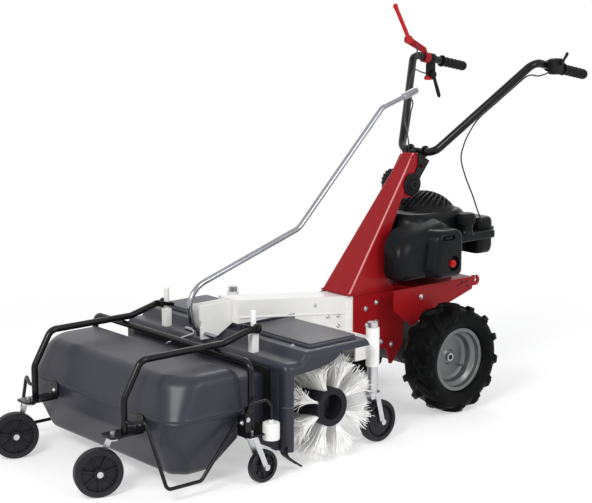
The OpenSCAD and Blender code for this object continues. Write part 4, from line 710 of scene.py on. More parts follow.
def tyreShell(side):
    # the lug mask is a product of soft steps across the lug and along the width, as a chevron
    g = tyre
    half = smoothLine(g["section"], 44)
    line = np.concatenate([half[::-1] * [-1, 1], half[1:]])
    d = unit(np.gradient(line, axis=0))
    x, r = line.T[:, None]
    wide, theta, period = np.abs(x), circle(g["around"]).T, fullTurn / g["lugs"]
    centre = np.where(x >= 0, 0.0, 0.5) * period - g["sweep"] / g["meanR"] * np.clip(wide / g["half"], 0, 1.1)
    off = np.abs((theta - centre + period / 2) % period - period / 2) * g["meanR"]
    flank, shoulder = ramp(off, g["lugEdge"], g["lugEase"]), ramp(r, g["shoulderR"], g["shoulderEase"])
    mask = flank ** 2 * (3 - 2 * flank) * shoulder ** 2 * (3 - 2 * shoulder)
    mask = mask * ramp(wide, g["gap"], g["gapEase"])
    crown = g["outR"] - g["crown"] * np.maximum(wide - g["flat"], 0) ** 2 - r
    lift = mask * np.minimum(np.where(r > g["treadR"], crown, g["lugH"] * g["sideShare"]), g["lugH"])
    px, pr = x - d[:, 1] * lift, np.minimum(r + d[:, 0] * lift, g["mostR"])
    points = np.stack([side * (g["track"] + px), pr * np.sin(theta), axleZ + pr * np.cos(theta)], -1)
    return Shell().grid(at(points), closeRows=True)


for side, name in namedSides:
    tyreShell(side).piece(name + "Tyre", "drive_axle", "tyre", "tyre_rubber", ["drive_tyres"], angle=50)
print("stage: tyres")

# hopper: outlines with turned front corners, drawn in with height; the inside is the same form less the wall

hopper = {"half": 385, "front": -1238, "rear": -985, "seam": 216, "top": 336, "lidFront": -1208, "lidIn": 18,
          "floor": 45, "floorFront": -1197, "floorRear": -1082, "floorIn": 40, "tail": 132, "cornerR": 50,
          "rearR": 16, "lidR": 30, "floorR": 20, "wall": 4, "band": 152, "turnSeam": 32, "turnTop": 66,
          "turnFloor": 40, "lipZ": [0.3, 3, 4.6, 6, 8], "lipIn": [-6, -6, -4.6, -0.8, 0],
          "lidSpan": (236, 302), "tubSpan": (192, 75), "tubZ": [192, 168, 155, 149, 130, 104, 74]}
mouth = {"line": rectangle(-320, 140, 320, 292), "ends": [-992, -862], "cornerR": 9, "innerR": 6, "wall": 4,
         "cut": ((-316, -1010, 144), (316, -970, 288), 3, 1, "y")}
# the seal frame is dark rubber put in the narrow gap between mouth and hood as painted shade
shadeSeal = {"line": rectangle(-346, 92, 346, 311), "ends": [-863, -859.5], "cornerR": 10, "drawIn": 5}


def hopperRing(z, e):
    # half width, front and rear follow the height; e draws every side in
    h = hopper
    up = ramp(z, h["seam"], h["top"] - h["seam"])
    down = ramp(z, h["seam"], h["floor"] - h["seam"])
    fall = ramp(z, h["band"], h["floor"] - h["band"])      # upright to the band, then in to the floor
    half = h["half"] - h["lidIn"] * up - h["floorIn"] * down - e
    front = h["front"] + (h["lidFront"] - h["front"]) * up + (h["floorFront"] - h["front"]) * fall + e
    slope = (h["rear"] - h["floorRear"]) / (h["tail"] - h["floor"])
    rear = h["rear"] - np.maximum(h["tail"] - z, 0) * slope - np.maximum(e, 0)
    turn = h["turnSeam"] + (h["turnTop"] - h["turnSeam"]) * up + (h["turnFloor"] - h["turnSeam"]) * down
    turn = np.maximum(turn - 0.586 * e, 8)      # 2 less the root of 2: the slanted sides draw in by e too
    side = np.maximum(h["cornerR"] * (1 + 0.7 * up - 0.4 * down) - e, 5)
    behind = np.maximum(h["rearR"] - e * 0.5, 4)
    corners = levels((half, front + turn), (half, rear), (-half, rear), (-half, front + turn),
                     (turn - half, front), (half - turn, front))
    return carry(roundPolygon(corners, np.stack([side, behind, behind, side, side, side], 1), 9, 8), z, "z")


def hopperHalf(way, outerZ, innerZ, end, edge):
    # way is 1 for the lid above the seam and -1 for the tub below; the lip stands out beside the seam
    h = hopper
    left, depth = edge
    z = np.concatenate([h["seam"] + way * np.array(h["lipZ"]), outerZ, end - way * left])
    e = np.concatenate([h["lipIn"], np.zeros(len(outerZ)), depth])
    zIn = np.concatenate([[h["seam"] + way * h["lipZ"][0]], innerZ, end - way * (h["wall"] + left)])
    eIn = h["wall"] + np.concatenate([np.zeros(len(innerZ) + 1), depth])
    return Shell().grid(np.concatenate([hopperRing(zIn, eIn)[::-1], hopperRing(z, e)]), caps=True)


def mouthFrame(outer, cornerR, drawIn, ends):
    # a frame from an outline to the mouth's, drawn in
    inner = carry(roundPolygon(inset(mouth["line"], [[drawIn]] * 2), mouth["innerR"], 6, 4), ends, "y")
    outer = carry(roundPolygon([outer] * 2, cornerR, 6, 4), ends, "y")
    return Shell().grid(np.concatenate([inner[::-1], outer]), closeRows=True)


mouthCut = Shell().block(*mouth["cut"])
lid = hopperHalf(1, np.linspace(*hopper["lidSpan"], 5), np.linspace(*hopper["lidSpan"], 4), hopper["top"],
                 roundTurn(hopper["lidR"], 10))
carve(lid.piece("hopperLid", "hopper", "charcoal", "hood_plastic", ["hopper_upper"]), mouthCut)
tub = hopperHalf(-1, hopper["tubZ"], np.linspace(*hopper["tubSpan"], 6), hopper["floor"],
                 roundTurn(hopper["floorR"], 9))
carve(tub.piece("hopperTub", "hopper", "charcoal", "hood_plastic", ["hopper_lower"]), mouthCut)
mouthFrame(mouth["line"], mouth["cornerR"], mouth["wall"], mouth["ends"]).piece(
    "hopperMouth", "hopper", "charcoal", "hood_plastic", ["hopper_upper", "hopper_lower"])
# a dark rubber frame closing the gap to the hood; its darkness is painted shade standing in for the shadow in
# that gap
mouthFrame(shadeSeal["line"], shadeSeal["cornerR"], shadeSeal["drawIn"], shadeSeal["ends"]).piece(      # just short of the hood
    "mouthSealShade", "hopper", "rubber", "grip_rubber")
print("stage: hopper")

# hood: a side outline carried across, drawn in at both ends by a quarter round, hollowed and cut

hood = {"half": 415, "wall": 4, "front": -850, "hem": 64, "tier": 330, "tierBack": -792, "step": -768,
        "roof": 356, "back": -520, "endR": 24, "radii": [1, 1, 1, 9, 7, 20], "drawn": [0, 0, 1, 1, 1, 1],
        "flatFrom": 40, "past": 30, "window": ((-325, -870, 96), (325, -830, 300), 12, 1, "y"),
        "beamCut": ((-48, -730, 300), (48, -596, 420), 4, 1),
        "saddle": ((-50, -740, 352), (50, -520, 372), 8, 3)}
arch = {"front": -823, "foot": 20, "spring": 296, "reach": 183, "rise": 42, "back": -500, "half": 430}
bead = {"z": 200.0, "r": 1.5, "sink": 0.5, "turn": (-4, 84)}
panels = [((62, -736, 352), (384, -540, 364), 14, 6), ((62, -728, 352), (376, -540, 368), 12, 4),
          ((349, -859, 66), (383, -846, 302), 8, 5, "y")]


def hoodForm(draw, past):
    # draw moves the walls in; past lets the hollow run out below and behind
    h = hood
    half, hem, behind = h["half"] - draw, h["hem"] - past, h["back"] + past
    left, depth = roundTurn(h["endR"], 8)
    flat = half - h["flatFrom"]
    x = np.concatenate([left[::-1] - half, np.linspace(-flat, flat, 9), half - left])
    e = np.concatenate([depth[::-1], np.zeros(9), depth]) + draw
    outline = [[h["front"], hem], [behind, hem], [behind, h["roof"]], [h["step"], h["roof"]],
               [h["tierBack"], h["tier"]], [h["front"], h["tier"]]]
    return Shell().loft(inset(outline, e[:, None] * h["drawn"]), h["radii"], x, "x", 8, 4)


t = np.radians(np.linspace(0, 90, 16))
y, z = arch["front"] + arch["reach"] * np.sin(t), arch["spring"] + arch["rise"] * (1 - np.cos(t))
bowed = np.stack([y, z], 1)
roofEnd = [arch["back"], arch["spring"] + arch["rise"]]
archLine = np.concatenate([[[arch["front"], arch["foot"]]], bowed, [roofEnd, [arch["back"], arch["foot"]]]])
beamCut = Shell().block(*hood["beamCut"])
carve(hoodForm(0, 0).piece("hoodShell", "tractor", "charcoal", "hood_plastic", ["hood"]),
      hoodForm(hood["wall"], hood["past"]), Shell().prism(archLine, -arch["half"], arch["half"]),
      Shell().block(*hood["window"]), beamCut)

# hood seams: a bead round both front corners, where the skirt meets the upper moulding; its pale grey is a
# painted highlight of the step there

t = np.radians(np.linspace(*bead["turn"], 14))
turnR = hood["endR"] - bead["sink"]
x, y = hood["half"] - hood["endR"] + turnR * np.cos(t), hood["front"] + hood["endR"] - turnR * np.sin(t)
line = np.stack([x, y, np.full(len(t), bead["z"])], 1)
s = Shell()
for side in bothSides:
    s.tube(line * [side, 1, 1], bead["r"], 12)
s.piece("hoodSeams", "tractor", "seam", "hood_plastic", ["hood"])
s = Shell()
for side in bothSides:
    for lo, hi, *form in panels:
        a, b = sorted((side * lo[0], side * hi[0]))
        s.block((a, *lo[1:]), (b, *hi[1:]), *form)
s.block(*hood["saddle"])
carve(s.piece("hoodPanels", "tractor", "charcoal", "hood_plastic", ["hood"]), beamCut)
print("stage: hood")

# engine covers: shroud with its cowl, filter lid, tank and cap

capAt = (137, 192, 0)
shroud = {"z": [500, 520, 560, 590], "top": 642, "edge": 30, "tall": 1.4, "plan": (-132, -46, 108, 268),
          "cornerR": 84}
cowl = {"x": [88, 100, 112, 124], "end": 168, "edge": 36, "radii": [40, 26, 46, 78], "y": (-150, 112),
        "hem": 434, "hemLift": 0.7, "rearTop": 636, "rearFall": 0.3, "frontTop": 604, "frontFall": 0.5}
filterLid = {"x": [128, 150, 170], "end": 206, "edge": 16, "radii": [30, 22, 26, 40], "flare": 60,
             "slant": 0.42, "hem": 438, "rear": 108, "rearTop": 598, "frontTop": 600, "footAt": -26,
             "headAt": 2, "dishAt": (0, 62, 485), "dish": [[24, 192], [27, 210]],
             "notch": ((198, 10, 566), (212, 66, 582), 6, 1, "x"),
             "latch": ((196, 20, 569), (205, 56, 579), 4, 2, "x")}
tank = {"plan": (-128, 268, 128, 348), "cornerR": 28, "drawn": [0, 1, 1, 1],
        "z": [480, 486, 500, 560, 561, 562, 570, 571, 572, 584, 592, 598, 603, 605.5, 606],
        "in": [10, 4, 0, 0, -2, -8, -8, -2, 0, 0, 1, 3, 7, 12, 18],
        "neck": [[30, 560], [24, 568], [23, 580], [23, 595]],
        "cap": [[26, 596.3], [29, 597], [30, 600], [30, 624], [29.4, 629], [27, 632.5], [23, 634.6],
                [13, 635.6], [2, 635.9]],
        "capRibs": (599, 626, 1.3, 24), "shelf": ((112, 118, 538), (160, 322, 566), 16, 8)}


def eased(starts, end, edge, steps, tall=1.0):
    # places up to a rounded end, and how far the outline is drawn in at each
    left, depth = roundTurn(edge, steps)
    return np.concatenate([starts, end - tall * left]), np.concatenate([np.zeros(len(starts)), depth])


z, e = eased(shroud["z"], shroud["top"], shroud["edge"], 10, shroud["tall"])
s = Shell().loft(inset(rectangle(*shroud["plan"]), e[:, None]), shroud["cornerR"] - e[:, None], z, "z", 14, 5)
x, e = eased(cowl["x"], cowl["end"], cowl["edge"], 12)
fall = x - cowl["x"][0]      # the top edge drops with the distance from the shroud
hem, front, rear = cowl["hem"] + cowl["hemLift"] * e, cowl["y"][0] + e, cowl["y"][1] - e
rearTop = cowl["rearTop"] - cowl["rearFall"] * fall - e
frontTop = cowl["frontTop"] - cowl["frontFall"] * fall - e
s.loft(levels((front, hem), (rear, hem), (rear, rearTop), (front, frontTop)),
       np.maximum(cowl["radii"] - 0.6 * e[:, None], 6), x, "x", 12, 5)
s.piece("engineShroud", "tractor", "engine", "engine_plastic", ["blower_housing"])

x, e = eased(filterLid["x"], filterLid["end"], filterLid["edge"], 9)
# the front wall leans out towards the cowl
front = e - filterLid["slant"] * np.clip(filterLid["end"] - x, 0, filterLid["flare"])
hem, rear = filterLid["hem"] + e, filterLid["rear"] - e
foot, head = front + filterLid["footAt"], front + filterLid["headAt"]
s = Shell().loft(levels((foot, hem), (rear, hem), (rear, filterLid["rearTop"] - e),
                        (head, filterLid["frontTop"] - e)),
                 np.maximum(filterLid["radii"] - 0.6 * e[:, None], 6), x, "x", 10, 5)
carve(s.piece("filterLid", "tractor", "engine", "engine_plastic", ["filter_cover"]),
      Shell().turned(filterLid["dishAt"], (1, 0, 0), filterLid["dish"], 48),
      Shell().block(*filterLid["notch"]))
Shell().block(*filterLid["latch"]).piece("lidLatch", "tractor", "engine", "engine_plastic")

e = np.array(tank["in"], float)[:, None]
outlines = inset(rectangle(*tank["plan"]), e * tank["drawn"])
s = Shell().loft(outlines, np.maximum(tank["cornerR"] - e, 10), tank["z"], "z", 9, 5)
s.block(*tank["shelf"], foot=6)
s.turned(capAt, (0, 0, 1), tank["neck"], 48)
s.piece("tankShell", "tractor", "engine", "engine_plastic", ["fuel_tank"])
Shell().turned(capAt, (0, 0, 1), tank["cap"], 144, ribbed(*tank["capRibs"])).piece(
    "capShell", "fuel_cap_body", "blackMoulding", "engine_plastic", ["fuel_cap"])

# slatted dome: a sphere cap whose slats are stripes across a turned axis, kept off the rim and one half

dome = {"centre": (-20, 138), "base": 642.0, "rim": 110.0, "rise": 58.0, "skirt": 6.0, "pitch": 15.0,
        "deep": 11.0, "slatFrom": 0.2, "slatEase": 0.07, "ringR": 98, "ringEase": -4, "halfFrom": 2,
        "halfEase": 6, "slatLine": (0.863, 0.505, 0.0042), "halfSide": (0.76, 0.65)}
bowR = (dome["rim"] ** 2 + dome["rise"] ** 2) / (2 * dome["rise"])
rho, a = np.linspace(1.0, dome["rim"], 120)[:, None], circle(300)
x, y = rho * np.cos(a), rho * np.sin(a)
# lines that turn from lengthwise to cross
runX, runY, bend = dome["slatLine"]
across = (runX * x + runY * y + bend * y * y) / dome["pitch"]
slats = ramp(np.abs((across % 1) - 0.5), dome["slatFrom"], dome["slatEase"])
slats = slats * ramp(rho, dome["ringR"], dome["ringEase"])
sideX, sideY = dome["halfSide"]
slats = slats * ramp(x * sideX - y * sideY, dome["halfFrom"], dome["halfEase"])
z = dome["base"] + np.sqrt(bowR ** 2 - rho ** 2) - (bowR - dome["rise"]) - dome["deep"] * slats
cap = np.stack([x + dome["centre"][0], y + dome["centre"][1], z], -1)
rimRow = cap[-1:] * [1, 1, 0] + [0, 0, dome["base"] - dome["skirt"]]
Shell().grid(at(np.concatenate([cap, rimRow])), caps=True).piece(
    "slattedDome", "tractor", "blackMoulding", "engine_plastic", ["recoil_grille"], angle=40)
print("stage: engine covers")

# column: a folded sheet; at each height its outline is a U that narrows upward, with bent front edges

column = {"foot": -288.0, "lean": 328.0, "base": 405.0, "rise": 438.0, "halfFoot": 68.0, "halfTop": 27.0,
          "sheet": 4.0, "radii": [9, 9, 1.2, 1.2, 5, 5, 1.2, 1.2],
          "backAt": [0, 0.07, 0.17, 0.36, 0.62, 0.975, 1], "back": [0.62, 0.53, 0.51, 0.57, 0.77, 1.06, 1.06],
          "head": [[0.7, 0.66], [0.95, 0.66], [1.17, 0.93], [1.122, 0.985], [0.99, 0.985]], "headHalf": 33,
          "headR": 4, "plug": (0, 62.3, 836.4), "plugR": 16, "lockBore": (0, 24, 738),
          "upperBore": (0, 66, 798)}
up = np.linspace(0, 1, 60)
front = column["foot"] + column["lean"] * up
rear = column["foot"] + column["lean"] * np.interp(up, column["backAt"], column["back"])
half = column["halfFoot"] + (column["halfTop"] - column["halfFoot"]) * up
inHalf, inFront = half - column["sheet"], front + 1.25 * column["sheet"]
outline = levels((-half, front), (half, front), (half, rear), (inHalf, rear), (inHalf, inFront),
                 (-inHalf, inFront), (-inHalf, rear), (-half, rear))
# painted highlight along the two front folds: the edge value is 1 on the middle of each bend and falls off
# beside it
foldGlint = np.zeros(8 * 11)      # 7 points of each bend and 4 of the flat after it
foldGlint[[2, 3, 4, 13, 14, 15]] = [0.35, 1, 0.35] * 2
Shell().loft(outline, column["radii"], column["base"] + column["rise"] * up, "z", 7, 4).piece(
    "columnSheet", "tractor", "red", "red_paint", ["column"], angle=40,
    attributes={"edge": np.tile(foldGlint, len(up))})
head = [column["foot"], column["base"]] + column["head"] * np.array([column["lean"], column["rise"]])
s = Shell().prism(rounded(head, column["headR"], 6, 2), -column["headHalf"], column["headHalf"])
carve(s.piece("columnHead", "tractor", "red", "red_paint", ["column"]),
      Shell().turned(column["lockBore"], (1, 0, 0), [[7.1, -40], [7.1, 40]], 32),
      Shell().turned(column["upperBore"], (1, 0, 0), [[7, -40], [7, 40]], 32))
a = np.linspace(0, math.pi / 2, 10)
plug = column["plugR"] * np.stack([np.cos(a), np.sin(a)], 1) + [0.2, 0]
Shell().turned(column["plug"], (0, 0, 1), plug, 64).piece(
    "columnPlug", "tractor", "blackMoulding", "black_plastic", ["column_cap"])
print("stage: column")

# lift lever: a chromed rod on the CAD route with a thicker hand end, its cross rod and its lifting finger

lift = {"foot": np.array([0, -848, 352]), "reach": 928, "rise": 705, "rodR": 9, "bend": [40, 40, 84, 60, 40],
        "shares": np.array([[0, 0], [0.037, 0.046], [0.047, 0.13], [0.03, 0.205], [-0.431, 0.403],
                            [-0.827, 0.924], [-1, 0.995]]),
        "hand": [[3, -1.0], [7, -0.4], [10, 1.4], [11.6, 4.4], [12, 8], [12, 66], [11.4, 69], [9.2, 72]],
        "crossHalf": [78, 0, 0], "crossR": 7, "finger": [[-979, 332], [-979, 342], [-848, 359], [-848, 345]],
        "fingerHalf": 5}
route = lift["foot"] + lift["shares"] @ np.array([[0, -lift["reach"], 0], [0, 0, lift["rise"]]])
s = Shell().tube(bent(route, lift["bend"], 12), lift["rodR"], 32)
s.turned(route[-1], route[-2] - route[-1], lift["hand"], 36)
s.rod(lift["foot"] - lift["crossHalf"], lift["foot"] + lift["crossHalf"], lift["crossR"], 24)
s.prism(rounded(lift["finger"], 3, 5, 2), -lift["fingerHalf"], lift["fingerHalf"])
s.piece("liftRod", "lift_lever_body", "chrome", "chromed_steel", ["lift_lever"])

# latches: a bent black rod with an eye, and a white weight turned with round rims

latch = {"x": 431.3, "rod": [[-1003, 228], [-1003, 248], [-938, 248], [-923, 228], [-923, 178]], "bend": 7.5,
         "rodR": 4, "eyeHalf": 5, "eyeR": 9, "pin": 16.6, "pinR": 5, "weightY": -923,
         "weight": [[20, 128], [23.4, 129], [25, 132], [25, 175], [24, 178.6], [21, 180], [8, 180.4],
                    [7, 186], [5.5, 187]]}
for side, name in namedSides:
    x, body, stands = latch["x"] * side, name + "_latch_body", [name + "_latch"]
    y, z = latch["rod"][0]
    s = Shell().tube(bent([[x, *p] for p in latch["rod"]], latch["bend"], 8), latch["rodR"], 18)
    s.rod([x - latch["eyeHalf"], y, z], [x + latch["eyeHalf"], y, z], latch["eyeR"], 24)
    s.rod([x - latch["pin"] * side, y, z], [x, y, z], latch["pinR"], 18)
    s.piece(name + "LatchRod", body, "black", "latch_steel", stands)
    Shell().turned((x, latch["weightY"], 0), (0, 0, 1), latch["weight"], 48).piece(
        name + "LatchWeight", body, "white", "latch_steel", stands)

# grips: a turned sleeve with finger waves, a collar at the inner end and a round nose

grip = {"length": 128, "r": 17.2, "wave": 1.3, "pitch": 21.0, "from": 9, "to": 112,
        "collar": [[14.5, 0], [20.4, 0], [21.5, 1.2], [21.5, 5.5], [20.0, 7.2]],
        "nose": [[17.6, 116], [17, 121], [15, 125], [11, 127.4], [5, 128]]}
h = np.linspace(grip["from"], grip["to"], 90)
wave = grip["r"] + grip["wave"] * np.cos(fullTurn * (h - grip["from"]) / grip["pitch"])
sleeve = np.concatenate([grip["collar"], np.stack([wave, h], 1), grip["nose"]])
s = Shell()
for side in bothSides:
    s.turned((gripEnd - gripRun * grip["length"]) * [side, 1, 1], gripRun * [side, 1, 1], sleeve, 48)
s.piece("gripSleeves", "tractor", "rubber", "grip_rubber", ["grips"])

# clutch lever: an oval section that tapers to the tip and ends in a bulb

clutch = {"pivot": np.array([-278.7, 316, 1205]), "tip": np.array([-278.7, 244, 1327]), "past": 9,
          "wide": ([0, 0.15, 0.8, 0.9, 0.95, 0.985, 1], [9.4, 8.2, 8.0, 9.8, 10.4, 7.4, 1.0]),
          "deep": ([0, 0.1, 0.85, 0.93, 0.985, 1], [6.4, 6.2, 6.2, 6.8, 5.2, 1.0]),
          "eye": [[11, -6], [14, -5], [15, -3.4], [15, 3.4], [14, 5], [11, 6]],
          "pin": [[5, -2], [5, 12], [4, 13]]}
run = clutch["tip"] - clutch["pivot"]
t = np.linspace(0, 1, 40)
s = Shell().blade(clutch["pivot"], run + clutch["past"] * unit(run), np.interp(t, *clutch["wide"]),
                  np.interp(t, *clutch["deep"]))
s.turned(clutch["pivot"], (1, 0, 0), clutch["eye"], 36).turned(clutch["pivot"], (-1, 0, 0), clutch["pin"], 20)
s.piece("clutchArm", "clutch_lever_body", "redMoulding", "red_plastic", ["clutch_lever"])

# trigger and throttle: soft housings on clamp rings round the handles, and a blade on an eye

clampRing = [[17, -13], [19.2, -12.4], [20, -11], [20, 11], [19.2, 12.4], [17, 13]]
trigger = {"share": 0.335, "eyeAt": [13.3, 0, -58], "length": 93, "lean": math.radians(22), "flat": 0.58,
           "swell": ([0, 0.25, 0.7, 0.9, 0.97, 1], [7.0, 7.4, 8.6, 8.4, 6.0, 2.0]),
           "eye": [[11, -5], [13.2, -4.4], [14, -3], [14, 3], [13.2, 4.4], [11, 5]],
           "pin": [[5, 0], [5, 20], [4, 21]]}
throttle = {"share": 0.3, "eyeAt": [42.4, 13, 13], "length": 43, "lean": math.radians(40), "deep": 2.9,
            "thinFrom": 4, "swell": ([0, 0.5, 0.8, 0.94, 1], [5.4, 5.8, 7.2, 6.2, 2.0]),
            "eye": [[7, -3], [8.4, -2.4], [8.8, 0], [8.4, 2.4], [7, 3]], "pin": [[5, 0], [5, 12], [4, 13]]}
seat = (gripTop + trigger["share"] * (gripEnd - gripTop)) * [-1, 1, 1]
s = Shell().turned(seat, gripRun * [-1, 1, 1], clampRing, 36)
s.block(seat + [-8, -20, -70], seat + [8, 18, -12], 11, 3, "x", foot=3)
s.piece("triggerHousing", "tractor", "blackMoulding", "black_plastic", ["trigger_clamp"])
Shell().block(seat + [-9, -27, -78], seat + [7.8, 22, -62], 7, 2, "x", foot=2).piece(
    "triggerCollar", "tractor", "redMoulding", "red_plastic")
eye = seat + trigger["eyeAt"]
s = Shell().turned(eye, (1, 0, 0), trigger["eye"], 36).turned(eye, (-1, 0, 0), trigger["pin"], 20)
swell = np.interp(np.linspace(0, 1, 34), *trigger["swell"])
run = trigger["length"] * np.array([0, math.sin(trigger["lean"]), -math.cos(trigger["lean"])])
s.blade(eye, run, swell, trigger["flat"] * swell)
s.piece("triggerArm", "trigger_lever_body", "blackMoulding", "black_plastic", ["trigger_lever"])
seat = gripTop + throttle["share"] * (gripEnd - gripTop)
s = Shell().turned(seat, gripRun, clampRing, 36).block(seat + [14, -28, -27], seat + [39, 28, 27], 13, 6, "x")
s.piece("throttleHousing", "tractor", "blackMoulding", "black_plastic", ["throttle_body"])
eye = seat + throttle["eyeAt"]
s = Shell().turned(eye, (1, 0, 0), throttle["eye"], 32).turned(eye, (-1, 0, 0), throttle["pin"], 20)
swell = np.interp(np.linspace(0, 1, 24), *throttle["swell"])
run = throttle["length"] * np.array([0, math.sin(throttle["lean"]), math.cos(throttle["lean"])])
s.blade(eye, run, swell, throttle["deep"] * np.minimum(swell / throttle["thinFrom"], 1))
s.piece("throttleArm", "throttle_lever_body", "blackMoulding", "black_plastic", ["throttle_lever"])
print("stage: levers")

# rims: one closed section turned about the axle, with lips, bead seats, a drop centre, a disc and a hub

rim = {"track": 255, "valveX": 251, "valveR": 62, "valveTurn": 2.2, "valveLean": 0.25,
       "valve": [[3, -8], [3, 18], [2, 20]], "section": [  # along the axle, radius
           [43, 107], [38, 107], [38, 98.1], [26, 98], [16, 84], [-16, 84], [-26, 98], [-38, 98.1],
           [-38, 107], [-43, 107], [-43, 94], [-26, 94], [-16, 80], [-14, 70], [-14, 26], [-32, 20],
           [-32, 12.6], [-6, 12.6], [-6, 20], [-10, 27], [-10, 66], [-5, 78], [16, 80], [26, 94], [43, 94]],
       "radii": [2.2, 1.5, 1, 3, 4, 4, 3, 1, 1.5, 2.2, 2, 3, 2, 3, 4, 2, 0.6, 0.6, 2, 3, 8, 3, 4, 4, 2],
       "bore": [[8.4, -1], [8.4, 0.5], [7.8, 0.9]]}
line, a = rounded(rim["section"], rim["radii"], 5, 1), circle(96)
wheels, bores = Shell(), Shell()
for side, end in ((1, high.x), (-1, low.x)):
    x = side * (rim["track"] + line[:, :1]) + 0 * a
    rings = np.stack([x, line[:, 1:] * np.sin(a), axleZ + line[:, 1:] * np.cos(a)], -1)
    valveY, valveZ = (rim["valveR"] * f(rim["valveTurn"]) for f in (math.sin, math.cos))
    wheels.grid(at(rings), closeRows=True)
    valveAt, valveRun = (side * rim["valveX"], valveY, axleZ + valveZ), (side, 0, rim["valveLean"])
    wheels.turned(valveAt, valveRun, rim["valve"], 12)
    bores.turned((end * 1000, 0, axleZ), (side, 0, 0), rim["bore"], 28)
wheels.piece("rimShells", "drive_axle", "rim", "rim_paint", ["drive_rims"])
bores.piece("axleBores", "drive_axle", "blackMoulding", "black_plastic")

# support wheels: a turned tyre with a groove and a dished face

support = {"at": (350, -423, 67.5), "r": 67.5, "face": np.array([
    [9, 15], [20, 15.6], [23, 13], [30, 10.4], [44, 10], [46, 5], [50, 5], [52, 15], [58, 16.4], [63, 15.6],
    [66.3, 12], [67.4, 6]])}
profile = np.concatenate([support["face"] * [1, -1], [[support["r"], 0]], support["face"][::-1]])
for side, name in namedSides:
    node = name + "_support_wheel"
    Shell().turned(np.array(support["at"]) * [side, 1, 1], (1, 0, 0), profile, 72).piece(
        name + "SupportTyre", node + "_body", "wheel", "wheel_plastic", [node])

# lock knob: a ribbed hand wheel on the far side, a stepped disc on the near side

lock = {"wheel": [[9, -70.4], [30, -70.2], [36, -69], [42.5, -66.8], [43.5, -64], [43.5, -47], [42, -44.6],
                  [36, -43], [15, -42.4], [15, -39]], "bar": [[7, -48], [7, 44]],
        "disc": [[36, 38.6], [38, 39.4], [38.6, 41.6], [37.4, 43.6], [33, 45], [32, 43.8], [29, 43.8],
                 [28, 46], [23, 47.4], [22, 46], [19.6, 46], [18.6, 51], [17.4, 52.2], [9, 52.4], [8, 49],
                 [3, 49]]}
s = Shell()
ribs = ribbed(-67, -45, 2.2, 18)
for part, around, ripple in (("wheel", 144, ribs), ("bar", 28, None), ("disc", 72, None)):
    s.turned(column["lockBore"], (1, 0, 0), lock[part], around, ripple)
s.piece("lockWheel", "lock_knob_body", "blackMoulding", "black_plastic", ["lock_knob"])

# hook posts: square tube, a slimmer pin above it and the hinge pin; flat loops end the hoops round the pins

post = {"x": 222, "y": -818, "half": 12, "z": (330, 388),
        "pin": [[8.6, 386], [8.6, 452], [8.2, 455.6], [7, 457]],
        "hinge": [[6, 6], [6, 24.6], [5.4, 25.4]], "hookZ": 404, "hook": (-16, -845, 16, -797), "hookR": 12,
        "tilt": 0.25, "strip": [(0, -6), (3.4, -6), (3.4, 6), (0, 6)]}
posts, pins, hooks = Shell(), Shell(), Shell()
ringLine = rounded(rectangle(*post["hook"]), post["hookR"], 8, 4)
d = unit(np.roll(ringLine, -1, 0) - np.roll(ringLine, 1, 0))
ringOut = np.stack([d[:, 1], -d[:, 0]], 1)
level = (post["hookZ"] - (ringLine[:, 1] - post["y"]) * post["tilt"])[:, None]
strip = np.stack([np.concatenate([ringLine + ringOut * dx, level + dz], 1) for dx, dz in post["strip"]], 1)
for side in bothSides:
    x, y, half = post["x"] * side, post["y"], post["half"]
    posts.block((x - half, y - half, post["z"][0]), (x + half, y + half, post["z"][1]), 2.5, 2)
    posts.turned((x, y, 0), (0, 0, 1), post["pin"], 32)
    pins.turned((x, y, post["hookZ"]), (side, 0, 0), post["hinge"], 20)
    hooks.grid(at(strip + [x, 0, 0]), closeRows=True)
posts.piece("postPins", "tractor", "ivory", "ivory_paint", ["hook_posts"])
pins.piece("hingePins", "tractor", "black", "black_paint")
hooks.piece("hookLoops", "hopper", "black", "black_paint")

# dust flaps: a rubber strip carried down a curve from the hem to the ground, with a slow wave across it

flap = {"drop": [[-844, 82], [-844, 66], [-838, 51], [-815, 32], [-786, 11]], "inner": 378, "outer": 410,
        "half": 1.8, "wave": 1.5, "down": 24, "across": 17}
drop = smoothLine(flap["drop"], flap["down"])
d = unit(np.gradient(drop, axis=0))
there = np.linspace(flap["inner"], flap["outer"], flap["across"])
wide = np.concatenate([there, there[::-1]])[None]
thick = np.repeat([flap["half"], -flap["half"]], flap["across"])[None]
wave = np.sin((wide - flap["inner"]) / (flap["outer"] - flap["inner"]) * fullTurn)
off = thick + flap["wave"] * np.linspace(0, 1, flap["down"])[:, None] ** 2 * wave
y, z = drop[:, :1] - d[:, 1:] * off, drop[:, 1:] + d[:, :1] * off
s = Shell()
for side in bothSides:
    s.grid(at(np.stack([side * wide + 0 * off, y, z], -1)), caps=True)
s.piece("dustFlaps", "tractor", "rubber", "grip_rubber", ["dust_flaps"])

# front caster plates: a flat plate on the seam with an upright tab beside each hoop foot

plateX = 228
plateBlocks = [((-32, -1356, 172), (32, -1244, 178), 9, 1.5),
               ((-4, -1250, 172), (32, -1244, 224), 8, 1.5, "y")]
s = Shell()
for side in bothSides:
    x = plateX * side
    for lo, hi, *form in plateBlocks:
        s.block((x + lo[0], *lo[1:]), (x + hi[0], *hi[1:]), *form)
s.piece("casterPlates", "hopper", "black", "black_paint", ["front_caster_plates"])

# bolts of the beam, the frame, the deck, the hood and the caster brackets; ledges along the beam

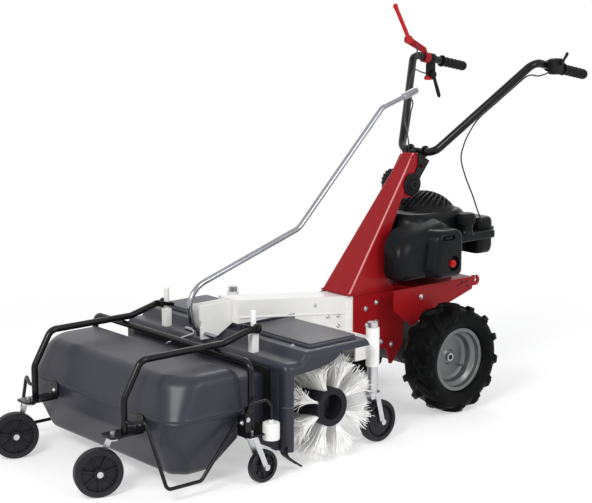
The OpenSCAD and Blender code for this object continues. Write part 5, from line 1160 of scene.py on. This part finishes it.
sideBolts = [  # x, size, places in y and z
    (50, 3.6, [(-422, 385), (-366, 339), (-321, 336), (-366, 300), (-321, 301)]),
    (66, 4.4, [(-211, 345), (-163, 360), (-163, 293), (-206, 288), (-139, 221), (-93, 205)]),
    (140, 4.6, [(-26, 372)])]
loneBolts = {"hood": (323, -750, 356, 3.6), "bracket": (409, -1013, 190, 4),
             "bracketSide": (425.52, -1003, 200, 3.6), "plateTab": (14, -1250, 196, 3.6)}
s, h = Shell(), Shell()
for side in bothSides:
    for x, size, places in sideBolts:
        for y, z in places:
            s.bolt((x * side, y, z), (side, 0, 0), size)
    x, y, z, size = loneBolts["hood"]
    s.bolt((x * side, y, z), (0, 0, 1), size)
    x, y, z, size = loneBolts["bracket"]
    h.bolt((x * side, y, z), (0, -1, 0), size)
    x, y, z, size = loneBolts["bracketSide"]
    h.bolt((x * side, y, z), (side, 0, 0), size)
    x, y, z, size = loneBolts["plateTab"]
    h.bolt((plateX * side + x, y, z), (0, -1, 0), size)
s.piece("frameBolts", "tractor", "zinc", "zinc_steel", smooth=False)
h.piece("hopperBolts", "hopper", "zinc", "zinc_steel", smooth=False)
ledge = {"line": [[-735, 394], [-735, 388], [-290, 337], [-290, 343]], "from": 49, "to": 52.5, "bevel": 0.001}
for side, name in namedSides:
    Shell().prism(ledge["line"], ledge["from"] * side, ledge["to"] * side).piece(
        name + "Ledge", "tractor", "ivory", "ivory_paint", bevel=ledge["bevel"])

# deck flange: a T-shaped slot and a hole, drawn as thin dark patches on the flange, painted shade standing in
# for the dark inside of the openings

deck = {"from": 139.2, "to": 140.25, "slot": [[141, 385.4], [141, 382], [202, 397], [202, 400.4]],
        "stem": [[170, 391], [173.4, 391.6], [173.4, 404], [170, 404]], "hole": [[4, 0], [4, 1.05]],
        "holeAt": (200, 379)}
s = Shell()
for side in bothSides:
    for part in ("slot", "stem"):
        s.prism(deck[part], deck["from"] * side, deck["to"] * side)
    s.turned((deck["from"] * side, *deck["holeAt"]), (side, 0, 0), deck["hole"], 24)
s.piece("deckSlotShade", "tractor", "blackMoulding", "black_plastic", smooth=False)
print("stage: fittings")
